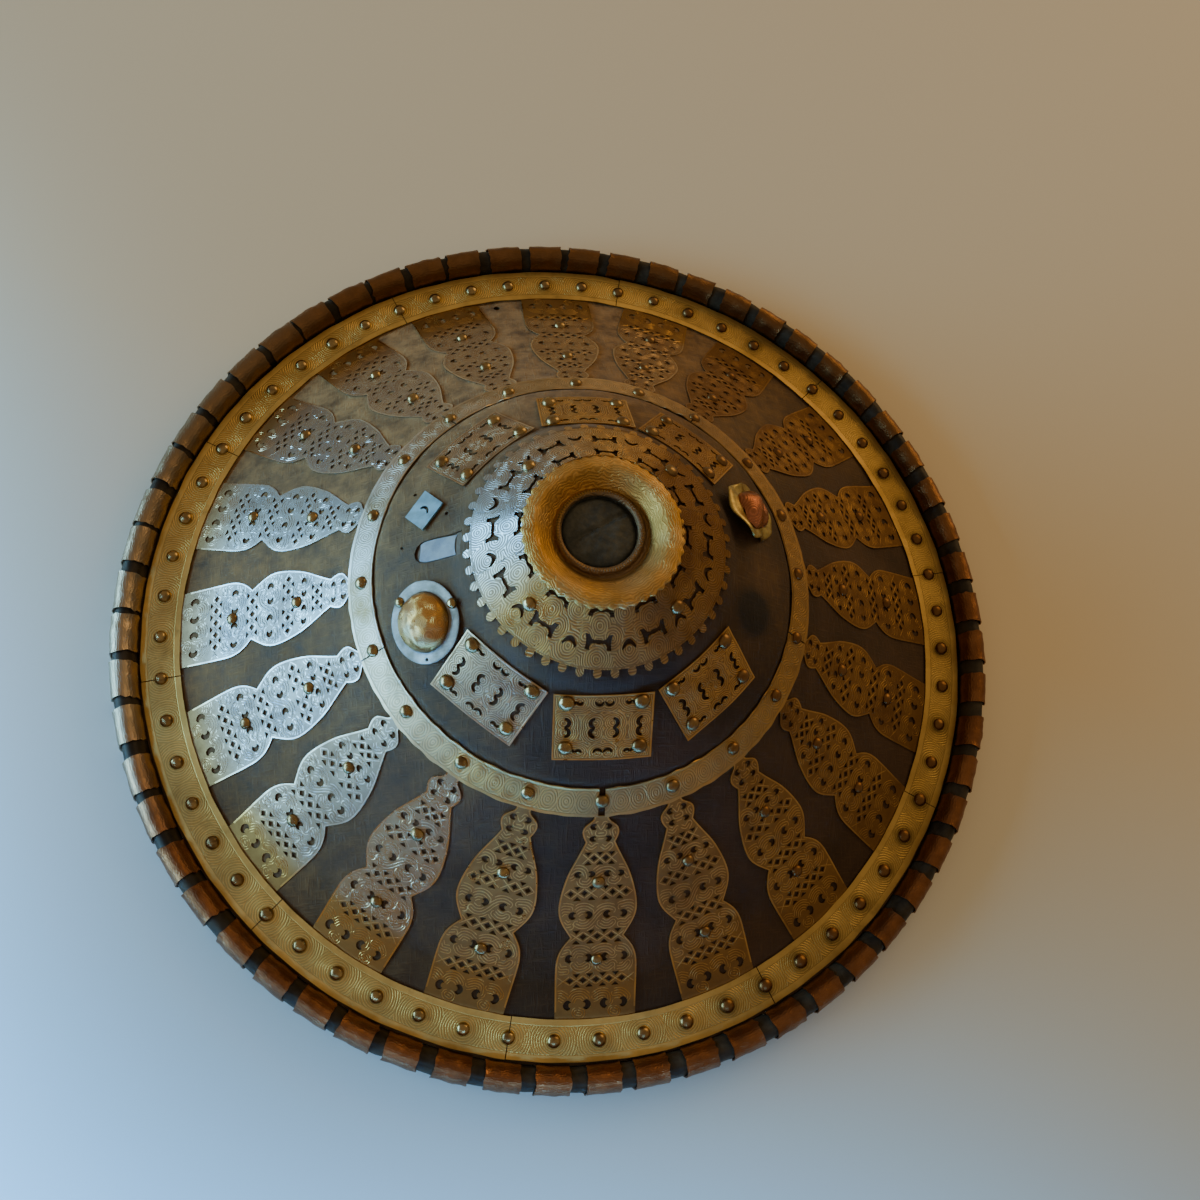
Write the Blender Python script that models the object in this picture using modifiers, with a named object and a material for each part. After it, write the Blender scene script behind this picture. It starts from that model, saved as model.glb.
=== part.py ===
"""Conical hide shield with a cloth facing, a clipped rim, metal bands, straps, plates and a central boss.

Units are metres, +Z is up. The shield lies on its back, boss upwards, with its axis on Z
and the flat underside of its brim on Z = 0. Azimuth 0 points along -Y and grows
anticlockwise seen from above.
"""
import bpy
import bmesh
from math import asin, atan2, cos, degrees, hypot, pi, radians, sin, sqrt
from mathutils import Matrix, Vector

# Overall sizes
SHIELD_RADIUS = 0.240
ROLL_WIDTH = 0.0136
ROLL_HEIGHT = 0.0182
ROLL_CREST_SETBACK = 0.0070
CLIP_COUNT = 60
CLIP_SHARE = 0.66
CLIP_PROUD = 0.0010

# Hide body
HIDE_THICKNESS = 0.0045
BRIM_WIDTH = 0.0224
BRIM_RISE = 0.0024
SKIRT_RISE = 0.0772
SKIRT_FLARE = 0.0030
CROWN_RADIUS = 0.1008
CROWN_STEP = 0.0030
CROWN_RISE = 0.0290
NECK_RADIUS = 0.0660
NECK_RISE = 0.0078
NECK_RUN = 0.0052
KNOB_RISE = 0.0215
CRATER_RADIUS = 0.0345
CRATER_DEPTH = 0.0070
CRATER_FLOOR_RADIUS = 0.0222
TIP_RADIUS = 0.0165
TIP_RISE = 0.0028
TIP_FOOT_DROP = 0.0006
BRIM_FOOT_INSET = 0.0040
HIDE_STEPS = 40

# Layers laid on the hide
TOUCH_GAP = 0.0003
FACING_THICKNESS = 0.0008
SHEET_THICKNESS = 0.0007
LAID_LIFT = 0.0002
FACING_INNER_MARGIN = 0.0020

# Bands
OUTER_BAND_WIDTH = 0.0200
OUTER_BAND_MARGIN = 0.0018
OUTER_BAND_STEPS = 40
OUTER_BAND_STRIPS = 10
OUTER_BAND_FIRST_SEAM = -12.0
OUTER_SEAM_GAP = 0.0004
MID_BAND_WIDTH = 0.0122
MID_BAND_CLEARANCE = 0.0004
MID_BAND_STRIPS = 5
MID_BAND_FIRST_SEAM = 0.0
MID_SEAM_GAP = 0.0008
SEAM_MARGIN = 0.0006

# Straps: share of the strap's run from its knob to its foot, and half width
STRAP_COUNT = 20
STRAP_KNOB_GAP = 0.0010
STRAP_TUCK_GAP = 0.0010
STRAP_OUTLINE = (
    (0.000, 0.0050),
    (0.040, 0.0087),
    (0.070, 0.0083),
    (0.095, 0.0071),
    (0.245, 0.0147),
    (0.390, 0.0188),
    (0.462, 0.0187),
    (0.510, 0.0166),
    (0.576, 0.0131),
    (0.643, 0.0180),
    (0.708, 0.0199),
    (1.000, 0.0202),
)

# Rivet heads
RIVET_SIDES = 6
BAND_RIVET_RADIUS = 0.0033
PLATE_RIVET_RADIUS = 0.0034
RIVET_HEIGHT_SHARE = 0.75

# Crown plates: middle azimuths in degrees
CROWN_PLATE_AZIMUTHS = (-41.5, -1.0, 39.0, 139.0, 178.5, 220.0)
CROWN_PLATE_WIDTH = 0.0460
CROWN_PLATE_NECK_MARGIN = 0.0005
CROWN_PLATE_FOOT_MARGIN = 0.0115
CROWN_PLATE_COLUMNS = 4
CROWN_PLATE_RIVET_SIDE_INSET = 0.0060
CROWN_PLATE_RIVET_END_INSET = 0.0050

# Boss plate and collar
BOSS_KNOBS = 48
BOSS_KNOB_LENGTH = 0.0030
BOSS_KNOB_HALF_WIDTH = 0.0013
BOSS_PLATE_OVERHANG = 0.0001
BOSS_RIVET_RADIUS = 0.0458
BOSS_RIVET_COUNT = 4
BOSS_FIRST_RIVET = 42.0
COLLAR_OVERLAP = 0.0016
COLLAR_LIP_RADIUS = 0.0296
COLLAR_LIP_DROP = 0.0004
COLLAR_THROAT_RADIUS = 0.0215
COLLAR_THROAT_DROP = 0.0078
COLLAR_OPENING_RADIUS = 0.0163
COLLAR_BEAD_HEIGHT = 0.0020
COLLAR_STEPS = 24

# Studs, the loose square plate and the torn slot
STUD_AZIMUTH = -70.0
STUD_RADIUS = 0.0830
STUD_FLANGE_RADIUS = 0.0190
STUD_DOME_RADIUS = 0.0138
STUD_DOME_HEIGHT = 0.0098
STUD_SIDES = 12
STUD_STANDOFF = 0.0004
BENT_STUD_AZIMUTH = 105.0
BENT_STUD_RADIUS = 0.0835
BENT_STUD_TILT = 9.0
BENT_STUD_LIFT = 0.0033
SQUARE_AZIMUTH = -110.0
SQUARE_RADIUS = 0.0822
SQUARE_SIDE = 0.0150
SQUARE_THICKNESS = 0.0011
SLOT_AZIMUTH = -95.0
SLOT_RADIUS = 0.0725
SLOT_LENGTH = 0.0250
SLOT_WIDTH = 0.0125
THONG_WIDTH = 0.0076
THONG_LENGTH = 0.0150
THONG_SHIFT = 0.0017
THONG_THICKNESS = 0.0008
EYELET_AZIMUTH = -171.2
EYELET_INSET = 0.0052
EYELET_BORE = 0.0022

# Grip inside the bowl
GRIP_HEIGHT = 0.0940
GRIP_ROLL_RADIUS = 0.0110
GRIP_END_GAP = 0.0006
GRIP_SIDES = 12

# Material colours: base colour, roughness, metallic
DARK_HIDE = ((0.085, 0.055, 0.038), 0.62, 0.0)
WORN_CLOTH = ((0.070, 0.055, 0.045), 0.85, 0.0)
COPPER = ((0.50, 0.25, 0.14), 0.38, 1.0)
BRASS = ((0.62, 0.44, 0.15), 0.36, 1.0)
PALE_GILT = ((0.66, 0.55, 0.42), 0.34, 1.0)
SILVER = ((0.72, 0.72, 0.70), 0.32, 1.0)
PALE_THONG = ((0.55, 0.54, 0.50), 0.80, 0.0)
GRIP_LEATHER = ((0.16, 0.085, 0.045), 0.60, 0.0)

# Radii and heights worked out from the sizes above
HIDE_RADIUS = SHIELD_RADIUS - ROLL_WIDTH - TOUCH_GAP
BRIM_RADIUS = HIDE_RADIUS - BRIM_WIDTH
HALF_FACET = pi/HIDE_STEPS
KNOB_RADIUS = NECK_RADIUS - NECK_RUN
BRIM_HEIGHT = HIDE_THICKNESS + BRIM_RISE
CROWN_FOOT_HEIGHT = BRIM_HEIGHT + SKIRT_RISE
NECK_HEIGHT = CROWN_FOOT_HEIGHT + CROWN_STEP + CROWN_RISE
KNOB_HEIGHT = NECK_HEIGHT + NECK_RISE
CRATER_HEIGHT = KNOB_HEIGHT + KNOB_RISE
CRATER_FLOOR_HEIGHT = CRATER_HEIGHT - CRATER_DEPTH
METAL_OFFSET = FACING_THICKNESS + 2*TOUCH_GAP
FACING_INNER_RADIUS = CRATER_RADIUS + FACING_INNER_MARGIN
EYELET_RADIUS = BRIM_RADIUS - EYELET_INSET
THONG_RADIUS = SLOT_RADIUS + THONG_SHIFT
CROWN_EDGE_RUN = 0.0006
CROWN_REACH = CROWN_RADIUS - CROWN_EDGE_RUN - NECK_RADIUS
CROWN_SLANT = hypot(CROWN_REACH, CROWN_RISE)
CROWN_PLATE_HEIGHT = CROWN_SLANT - CROWN_PLATE_NECK_MARGIN - CROWN_PLATE_FOOT_MARGIN
CROWN_PLATE_RADIUS = NECK_RADIUS + CROWN_REACH*(CROWN_PLATE_NECK_MARGIN + CROWN_PLATE_HEIGHT/2)/CROWN_SLANT

shield = bpy.data.collections.new("hide_shield")
tools = bpy.data.collections.new("tools")


def clear_scene():
    for old in list(bpy.data.objects):
        bpy.data.objects.remove(old, do_unlink=True)
    for collection in (shield, tools):
        bpy.context.scene.collection.children.link(collection)


def make_material(name, finish):
    colour, roughness, metallic = finish
    material = bpy.data.materials.new(name)
    material.use_nodes = True
    shader = material.node_tree.nodes["Principled BSDF"]
    shader.inputs["Base Color"].default_value = (*colour, 1.0)
    shader.inputs["Roughness"].default_value = roughness
    shader.inputs["Metallic"].default_value = metallic
    return material


def add_piece(name, mesh, finish):
    """Put a mesh in the shield as a named piece with its own material."""
    piece = bpy.data.objects.new(name, mesh)
    mesh.materials.clear()
    mesh.materials.append(make_material(name, finish))
    shield.objects.link(piece)
    return piece


def add_tool(name, mesh):
    """Put a mesh among the cutters, hidden from the render."""
    tool = bpy.data.objects.new(name, mesh)
    tool.hide_render = True
    tool.display_type = 'WIRE'
    tools.objects.link(tool)
    return tool


def smooth(piece, angle=35.0):
    piece.data.shade_smooth()
    piece.data.set_sharp_from_angle(angle=radians(angle))


def baked(piece):
    """Replace a piece's mesh by its evaluated one and drop its modifiers."""
    bpy.context.view_layer.update()
    graph = bpy.context.evaluated_depsgraph_get()
    mesh = bpy.data.meshes.new_from_object(piece.evaluated_get(graph))
    piece.modifiers.clear()
    piece.data = mesh
    return piece


def combine(piece, tool, operation):
    boolean = piece.modifiers.new(operation.lower(), 'BOOLEAN')
    boolean.operation = operation
    boolean.solver = 'EXACT'
    boolean.object = tool
    return boolean


# Surface of the hide, from which every layer is placed
def skirt_height(radius):
    """Height of the hide's upper face on the flared skirt."""
    share = (BRIM_RADIUS - radius)/(BRIM_RADIUS - CROWN_RADIUS)
    return BRIM_HEIGHT + SKIRT_RISE*share - 4*SKIRT_FLARE*share*(1 - share)


def skirt_ring(share):
    radius = BRIM_RADIUS - share*(BRIM_RADIUS - CROWN_RADIUS)
    return (radius, skirt_height(radius))


SKIRT_SHARES = (1.0, 0.5, 0.0)


def upper_profile():
    """Hide's upper face from the crater's edge down to the rim, as (radius, height)."""
    return [
        (CRATER_RADIUS, CRATER_HEIGHT),
        (KNOB_RADIUS, KNOB_HEIGHT),
        (NECK_RADIUS, NECK_HEIGHT),
        (CROWN_RADIUS - CROWN_EDGE_RUN, CROWN_FOOT_HEIGHT + CROWN_STEP),
        *(skirt_ring(share) for share in SKIRT_SHARES),
        (HIDE_RADIUS, HIDE_THICKNESS),
    ]


def offset_profile(points, distance):
    """Shift a profile along its outward normals by a distance."""
    shifted = []
    for i, point in enumerate(points):
        normals = []
        for a, b in ((i - 1, i), (i, i + 1)):
            if a < 0 or b >= len(points):
                continue
            along = Vector(points[b]) - Vector(points[a])
            normals.append(Vector((-along.y, along.x)).normalized())
        normal = sum(normals, Vector((0, 0))).normalized()
        stretch = distance/max(normal.dot(normals[0]), 0.5)
        shifted.append((point[0] + normal.x*stretch, point[1] + normal.y*stretch))
    return shifted


def profile_height(points, radius):
    for (r0, z0), (r1, z1) in zip(points, points[1:]):
        if min(r0, r1) - 1e-9 <= radius <= max(r0, r1) + 1e-9 and abs(r1 - r0) > 1e-9:
            return z0 + (z1 - z0)*(radius - r0)/(r1 - r0)
    return points[-1][1] if radius > points[-1][0] else points[0][1]


def polar(radius, azimuth, height):
    turn = radians(azimuth - 90.0)
    return Vector((radius*cos(turn), radius*sin(turn), height))


def on_crown(run, across, middle_radius, middle_azimuth, lift):
    """Point of a flat sheet bent round the crown's cone.

    run goes down the slope from the sheet's middle, across goes anticlockwise.
    """
    share = CROWN_REACH/CROWN_SLANT
    slant = middle_radius/share
    distance = hypot(across, slant + run)
    turn = atan2(across, slant + run)/share
    radius = distance*share
    height = NECK_HEIGHT - (radius - NECK_RADIUS)*CROWN_RISE/CROWN_REACH
    normal_out, normal_up = CROWN_RISE/CROWN_SLANT, share
    return polar(radius + lift*normal_out, middle_azimuth + degrees(turn), height + lift*normal_up)


def crown_frame(radius, azimuth, lift):
    """Matrix at a point of the crown: X across, Y up the slope, Z outwards."""
    origin = on_crown(0, 0, radius, azimuth, lift)
    up = (on_crown(-0.001, 0, radius, azimuth, lift) - origin).normalized()
    out = (on_crown(0, 0, radius, azimuth, lift + 0.001) - origin).normalized()
    across = up.cross(out).normalized()
    matrix = Matrix((across, up, out)).transposed().to_4x4()
    matrix.translation = origin
    return matrix


# Mesh makers
def turned(name, profile, finish, steps, closed):
    """Turn a profile round Z. The profile runs down its outer side."""
    mesh = bpy.data.meshes.new(name)
    count = len(profile)
    edges = [(i, i + 1) for i in range(count - 1)]
    if closed:
        edges.append((count - 1, 0))
    mesh.from_pydata([(r, 0.0, z) for r, z in profile], edges, [])
    piece = add_piece(name, mesh, finish)
    screw = piece.modifiers.new("turn", 'SCREW')
    screw.steps = steps
    screw.render_steps = steps
    screw.use_merge_vertices = True
    screw.merge_threshold = 0.00001
    screw.use_smooth_shade = True
    weld = piece.modifiers.new("weld", 'WELD')
    weld.merge_threshold = 0.00001
    return piece


def swept(name, section, finish, start, end, steps):
    """Sweep a closed section of (radius, height) round Z from one azimuth to another."""
    bm = bmesh.new()
    face = bm.faces.new([bm.verts.new(polar(r, start, z)) for r, z in section])
    bmesh.ops.spin(bm, geom=[face, *face.edges, *face.verts], cent=(0, 0, 0), axis=(0, 0, 1),
                   angle=radians(end - start), steps=steps)
    bmesh.ops.recalc_face_normals(bm, faces=bm.faces)
    mesh = bpy.data.meshes.new(name)
    bm.to_mesh(mesh)
    bm.free()
    return add_piece(name, mesh, finish)


def sheet(name, rows, finish, thickness):
    """Thin sheet from rows of points, each row running anticlockwise, thickened outwards."""
    bm = bmesh.new()
    grid = [[bm.verts.new(point) for point in row] for row in rows]
    for upper, lower in zip(grid, grid[1:]):
        for i in range(len(upper) - 1):
            bm.faces.new((upper[i], lower[i], lower[i + 1], upper[i + 1]))
    mesh = bpy.data.meshes.new(name)
    bm.to_mesh(mesh)
    bm.free()
    piece = add_piece(name, mesh, finish)
    thicken(piece, thickness)
    return piece


def thicken(piece, thickness):
    solid = piece.modifiers.new("thickness", 'SOLIDIFY')
    solid.thickness = thickness
    solid.offset = 1.0
    solid.use_even_offset = True


def rivet_heads(name, places, radius):
    """Low heads with few sides, each sunk a little into its sheet, as one tool."""
    height = radius*RIVET_HEIGHT_SHARE
    sink = SHEET_THICKNESS/2
    bm = bmesh.new()
    for place in places:
        made = bmesh.ops.create_cone(bm, cap_ends=True, segments=RIVET_SIDES, radius1=radius,
                                     radius2=0.0, depth=height + sink)
        raise_by = Matrix.Translation((0, 0, (height - sink)/2))
        bmesh.ops.transform(bm, matrix=place @ raise_by, verts=made["verts"])
    mesh = bpy.data.meshes.new(name)
    bm.to_mesh(mesh)
    bm.free()
    return add_tool(name, mesh)


def rivet(piece, places, radius):
    """Fuse rivet heads onto a piece."""
    combine(piece, rivet_heads(piece.name + "_heads", places, radius), 'UNION')
    return baked(piece)


def place_on(origin, out):
    """Matrix at a point with Z along the outward direction."""
    matrix = out.normalized().to_track_quat('Z', 'Y').to_matrix().to_4x4()
    matrix.translation = origin
    return matrix


# The hide body
def hide_shell():
    outer = [
        (0.0, CRATER_FLOOR_HEIGHT + TIP_RISE),
        (TIP_RADIUS, CRATER_FLOOR_HEIGHT - TIP_FOOT_DROP),
        (CRATER_FLOOR_RADIUS, CRATER_FLOOR_HEIGHT),
        *upper_profile(),
    ]
    guide = [outer[0], outer[2], (KNOB_RADIUS, KNOB_HEIGHT), (NECK_RADIUS, NECK_HEIGHT),
             *(skirt_ring(share) for share in SKIRT_SHARES)]
    inner = offset_profile(guide, -HIDE_THICKNESS)
    inner[0] = (0.0, outer[0][1] - HIDE_THICKNESS)
    inner[-1] = (BRIM_RADIUS - BRIM_FOOT_INSET, 0.0)
    profile = outer + [(HIDE_RADIUS, 0.0)] + inner[::-1]
    shell = turned("hide_shell", profile, DARK_HIDE, HIDE_STEPS, closed=False)
    shell.rotation_euler.z = HALF_FACET
    combine(shell, eyelet_cutter(), 'DIFFERENCE')
    smooth(shell)
    return shell


def eyelet_cutter():
    bm = bmesh.new()
    bmesh.ops.create_cone(bm, cap_ends=True, segments=8, radius1=EYELET_BORE,
                          radius2=EYELET_BORE, depth=4*BRIM_HEIGHT)
    place = Matrix.Translation(polar(EYELET_RADIUS, EYELET_AZIMUTH, BRIM_HEIGHT))
    bmesh.ops.transform(bm, matrix=place, verts=bm.verts)
    mesh = bpy.data.meshes.new("eyelet_cutter")
    bm.to_mesh(mesh)
    bm.free()
    return add_tool("eyelet_cutter", mesh)


# The worn cloth glued over the hide
def facing_profile(offset):
    points = offset_profile(upper_profile(), offset)
    start = (FACING_INNER_RADIUS, profile_height(points[:2], FACING_INNER_RADIUS))
    end = (HIDE_RADIUS, profile_height(points[-2:], HIDE_RADIUS))
    return [start, *points[1:-1], end]


def slot_cutter():
    """Torn opening in the facing, an uneven prism along the crown's normal."""
    ragged = ((-1.0, -0.5), (-0.55, -1.0), (0.2, -0.92), (1.0, -0.78), (0.95, 0.9),
              (0.1, 1.0), (-0.8, 0.75))
    frame = crown_frame(SLOT_RADIUS, SLOT_AZIMUTH, 0.0)
    low, high = TOUCH_GAP/2, 6*METAL_OFFSET
    bm = bmesh.new()
    rings = []
    for level in (low, high):
        rings.append([bm.verts.new(frame @ Vector((y*SLOT_WIDTH/2, -x*SLOT_LENGTH/2, level)))
                      for x, y in ragged])
    bm.faces.new(rings[0])
    bm.faces.new(rings[1][::-1])
    count = len(ragged)
    for i in range(count):
        j = (i + 1) % count
        bm.faces.new((rings[0][i], rings[0][j], rings[1][j], rings[1][i]))
    bmesh.ops.recalc_face_normals(bm, faces=bm.faces)
    mesh = bpy.data.meshes.new("slot_cutter")
    bm.to_mesh(mesh)
    bm.free()
    return add_tool("slot_cutter", mesh)


def cloth_facing():
    upper = facing_profile(TOUCH_GAP + FACING_THICKNESS)
    lower = facing_profile(TOUCH_GAP)
    facing = turned("cloth_facing", upper + lower[::-1], WORN_CLOTH, HIDE_STEPS, closed=True)
    facing.rotation_euler.z = HALF_FACET
    combine(facing, slot_cutter(), 'DIFFERENCE')
    combine(facing, tools.objects["eyelet_cutter"], 'DIFFERENCE')
    smooth(facing)
    return facing


# The rolled edge with its clips
def rim_edging():
    """Rolled edge as a ring whose upper part swells under each clip."""
    inner = SHIELD_RADIUS - ROLL_WIDTH
    crest = SHIELD_RADIUS - ROLL_CREST_SETBACK
    pitch = 360.0/CLIP_COUNT
    half_clip = pitch*CLIP_SHARE/2
    shoulder = pitch*0.01

    def foot(azimuth):
        outer = SHIELD_RADIUS - ROLL_WIDTH*0.14 - CLIP_PROUD
        return [polar(inner, azimuth, TOUCH_GAP), polar(outer, azimuth, TOUCH_GAP)]

    def top(azimuth, swell):
        low = CLIP_PROUD*(1.0 - swell)
        return [
            polar(inner, azimuth, ROLL_HEIGHT*0.50 - low),
            polar(crest, azimuth, ROLL_HEIGHT - low),
            polar(SHIELD_RADIUS - low, azimuth, ROLL_HEIGHT*0.58),
        ]

    bm = bmesh.new()
    feet, tops = [], []
    for i in range(CLIP_COUNT):
        middle = i*pitch
        feet.append([bm.verts.new(point) for point in foot(middle - half_clip)])
        for turn, swell in ((-half_clip, 1.0), (half_clip, 1.0), (half_clip + shoulder, 0.0),
                            (pitch - half_clip - shoulder, 0.0)):
            tops.append([bm.verts.new(point) for point in top(middle + turn, swell)])
    for i in range(CLIP_COUNT):
        foot_a, foot_b = feet[i], feet[(i + 1) % CLIP_COUNT]
        run = [tops[(4*i + k) % len(tops)] for k in range(5)]
        bm.faces.new((foot_a[0], foot_b[0], foot_b[1], foot_a[1]))
        bm.faces.new((foot_b[0], foot_a[0], *(ring[0] for ring in run)))
        bm.faces.new((foot_a[1], foot_b[1], *(ring[2] for ring in run[::-1])))
        for ring, following in zip(run, run[1:]):
            for k in range(2):
                bm.faces.new((ring[k], ring[k + 1], following[k + 1], following[k]))
    bmesh.ops.triangulate(bm, faces=bm.faces)
    bmesh.ops.recalc_face_normals(bm, faces=bm.faces)
    mesh = bpy.data.meshes.new("rim_edging")
    bm.to_mesh(mesh)
    bm.free()
    edging = add_piece("rim_edging", mesh, COPPER)
    smooth(edging, 25.0)
    return edging


# Bands round the brim and round the crown's foot
def laid_profile():
    return offset_profile(upper_profile(), METAL_OFFSET)


def band_section(inner, outer, profile):
    """Section of a sheet band lying on the facing between two radii."""
    low = [(inner, profile_height(profile, inner)), (outer, profile_height(profile, outer))]
    high = offset_profile(low, SHEET_THICKNESS)
    return [low[0], low[1], high[1], high[0]]


def band_rivet_places(section, azimuths):
    """Rivet frames on the upper face of a band's section."""
    (r1, z1), (r0, z0) = section[2], section[3]
    out = Vector((z0 - z1, r1 - r0)).normalized()
    places = []
    for azimuth in azimuths:
        origin = polar((r0 + r1)/2, azimuth, (z0 + z1)/2)
        aside = polar(1.0, azimuth, 0.0)
        places.append(place_on(origin, aside*out.x + Vector((0, 0, out.y))))
    return places


def strips(name, section, strip_count, first_seam, gap, pitch, steps, finish):
    """A band made of strips, each ending just past the rivet that holds the seam."""
    middle = (section[0][0] + section[1][0])/2
    past = degrees((BAND_RIVET_RADIUS + SEAM_MARGIN)/middle)
    apart = degrees(gap/middle)
    share = 360.0/strip_count
    made = []
    for i in range(strip_count):
        start = first_seam + i*share + past + apart
        end = first_seam + (i + 1)*share + past
        count = max(2, round((end - start)*steps/360.0))
        strip = swept(f"{name}_{i + 1:02d}", section, finish, start, end, count)
        first = int(-(-(start + past/2)//pitch))
        last = int((end - past/2)//pitch)
        azimuths = [k*pitch for k in range(first, last + 1)]
        rivet(strip, band_rivet_places(section, azimuths), BAND_RIVET_RADIUS)
        smooth(strip)
        made.append(strip)
    return made


def outer_band_inner_radius():
    return HIDE_RADIUS - OUTER_BAND_MARGIN - OUTER_BAND_WIDTH


def outer_band():
    inner = outer_band_inner_radius()
    outer = HIDE_RADIUS - OUTER_BAND_MARGIN
    profile = laid_profile()
    tangent_in = profile_height(profile, inner)
    brim_in, brim_out = profile[-2], profile[-1]
    if inner < brim_in[0]:
        tangent_in = max(tangent_in, brim_in[1])
    low = [(inner, tangent_in), (outer, profile_height([brim_in, brim_out], outer))]
    high = offset_profile(low, SHEET_THICKNESS)
    section = [low[0], low[1], high[1], high[0]]
    return strips("outer_band", section, OUTER_BAND_STRIPS, OUTER_BAND_FIRST_SEAM,
                  OUTER_SEAM_GAP, 360.0/CLIP_COUNT, OUTER_BAND_STEPS, BRASS)


def mid_band_radii():
    inner = CROWN_RADIUS + MID_BAND_CLEARANCE + METAL_OFFSET
    return inner, inner + MID_BAND_WIDTH


def mid_band():
    inner, outer = mid_band_radii()
    section = band_section(inner, outer, laid_profile())
    lifted = [(r, z + LAID_LIFT) for r, z in section]
    return strips("mid_band", lifted, MID_BAND_STRIPS, MID_BAND_FIRST_SEAM, MID_SEAM_GAP,
                  360.0/STRAP_COUNT, HIDE_STEPS, PALE_GILT)


# Openwork straps, solid here
def strap(index):
    """One strap lying on the flat of the faceted skirt under its middle."""
    azimuth = index*360.0/STRAP_COUNT
    flat = cos(HALF_FACET)
    band_edge = outer_band_inner_radius()*cos(pi/OUTER_BAND_STEPS)
    foot_half_width = STRAP_OUTLINE[-1][1]
    start = mid_band_radii()[1] + STRAP_KNOB_GAP
    end = sqrt(band_edge**2 - foot_half_width**2)/flat - STRAP_TUCK_GAP
    profile = laid_profile()
    radial = polar(1.0, azimuth, 0.0)
    side = Vector((-radial.y, radial.x, 0.0))

    def row_point(radius, offset):
        return radial*(radius*flat) + side*offset + Vector((0, 0, profile_height(profile, radius)))

    rows = []
    for share, half_width in STRAP_OUTLINE:
        radius = start + share*(end - start)
        rows.append([row_point(radius, -half_width), row_point(radius, half_width)])
    piece = sheet(f"strap_{index + 1:02d}", rows, PALE_GILT, SHEET_THICKNESS)
    smooth(piece)
    return piece


# Six riveted plates on the crown
def crown_plate(index, azimuth):
    lift = METAL_OFFSET + LAID_LIFT
    half_width, half_height = CROWN_PLATE_WIDTH/2, CROWN_PLATE_HEIGHT/2
    rows = []
    for run in (-half_height, half_height):
        row = []
        for column in range(CROWN_PLATE_COLUMNS + 1):
            across = half_width*(2*column/CROWN_PLATE_COLUMNS - 1)
            row.append(on_crown(run, across, CROWN_PLATE_RADIUS, azimuth, lift))
        rows.append(row)
    piece = sheet(f"crown_plate_{index + 1}", rows, PALE_GILT, SHEET_THICKNESS)
    inset_x = half_width - CROWN_PLATE_RIVET_SIDE_INSET
    inset_y = half_height - CROWN_PLATE_RIVET_END_INSET
    places = []
    for run in (-inset_y, inset_y):
        for across in (-inset_x, inset_x):
            base = on_crown(run, across, CROWN_PLATE_RADIUS, azimuth, lift + SHEET_THICKNESS*0.9)
            above = on_crown(run, across, CROWN_PLATE_RADIUS, azimuth, lift + 2*SHEET_THICKNESS)
            places.append(place_on(base, above - base))
    rivet(piece, places, PLATE_RIVET_RADIUS)
    smooth(piece)
    return piece


# Conical boss plate with a fringe of small knobs
def boss_plate():
    profile = laid_profile()[:2]
    (r0, z0), (r1, z1) = profile
    slope = (z1 - z0)/(r1 - r0)
    knob_tip = KNOB_RADIUS + BOSS_PLATE_OVERHANG
    edge = knob_tip - BOSS_KNOB_LENGTH
    inner = CRATER_RADIUS + TOUCH_GAP

    def point(radius, azimuth):
        return polar(radius, azimuth, z0 + LAID_LIFT + slope*(radius - r0))

    neck = degrees(BOSS_KNOB_HALF_WIDTH/edge)
    pitch = 360.0/BOSS_KNOBS
    bm = bmesh.new()
    middles = [bm.verts.new(point(inner, i*pitch)) for i in range(0, BOSS_KNOBS, 2)]
    knobs = []
    for i in range(BOSS_KNOBS):
        places = [(edge, -neck), (knob_tip, -neck), (knob_tip, neck), (edge, neck)]
        knobs.append([bm.verts.new(point(r, i*pitch + turn)) for r, turn in places])
    for knob in knobs:
        bm.faces.new(knob)
    for i, middle in enumerate(middles):
        following = middles[(i + 1) % len(middles)]
        first, second, third = knobs[2*i], knobs[2*i + 1], knobs[(2*i + 2) % BOSS_KNOBS]
        fan = (first[0], first[3], second[0], second[3])
        for a, b in zip(fan, fan[1:]):
            bm.faces.new((middle, a, b))
        bm.faces.new((middle, second[3], third[0], following))
    mesh = bpy.data.meshes.new("boss_plate")
    bm.to_mesh(mesh)
    bm.free()
    plate = add_piece("boss_plate", mesh, PALE_GILT)
    thicken(plate, SHEET_THICKNESS)
    out = Vector((-slope, 1.0)).normalized()
    places = []
    for i in range(BOSS_RIVET_COUNT):
        azimuth = BOSS_FIRST_RIVET + i*360.0/BOSS_RIVET_COUNT
        direction = polar(1.0, azimuth, 0.0)*out.x + Vector((0, 0, out.y))
        base = point(BOSS_RIVET_RADIUS, azimuth) + direction*SHEET_THICKNESS*0.9
        places.append(place_on(base, direction))
    rivet(plate, places, PLATE_RIVET_RADIUS)
    smooth(plate)
    return plate


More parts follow.
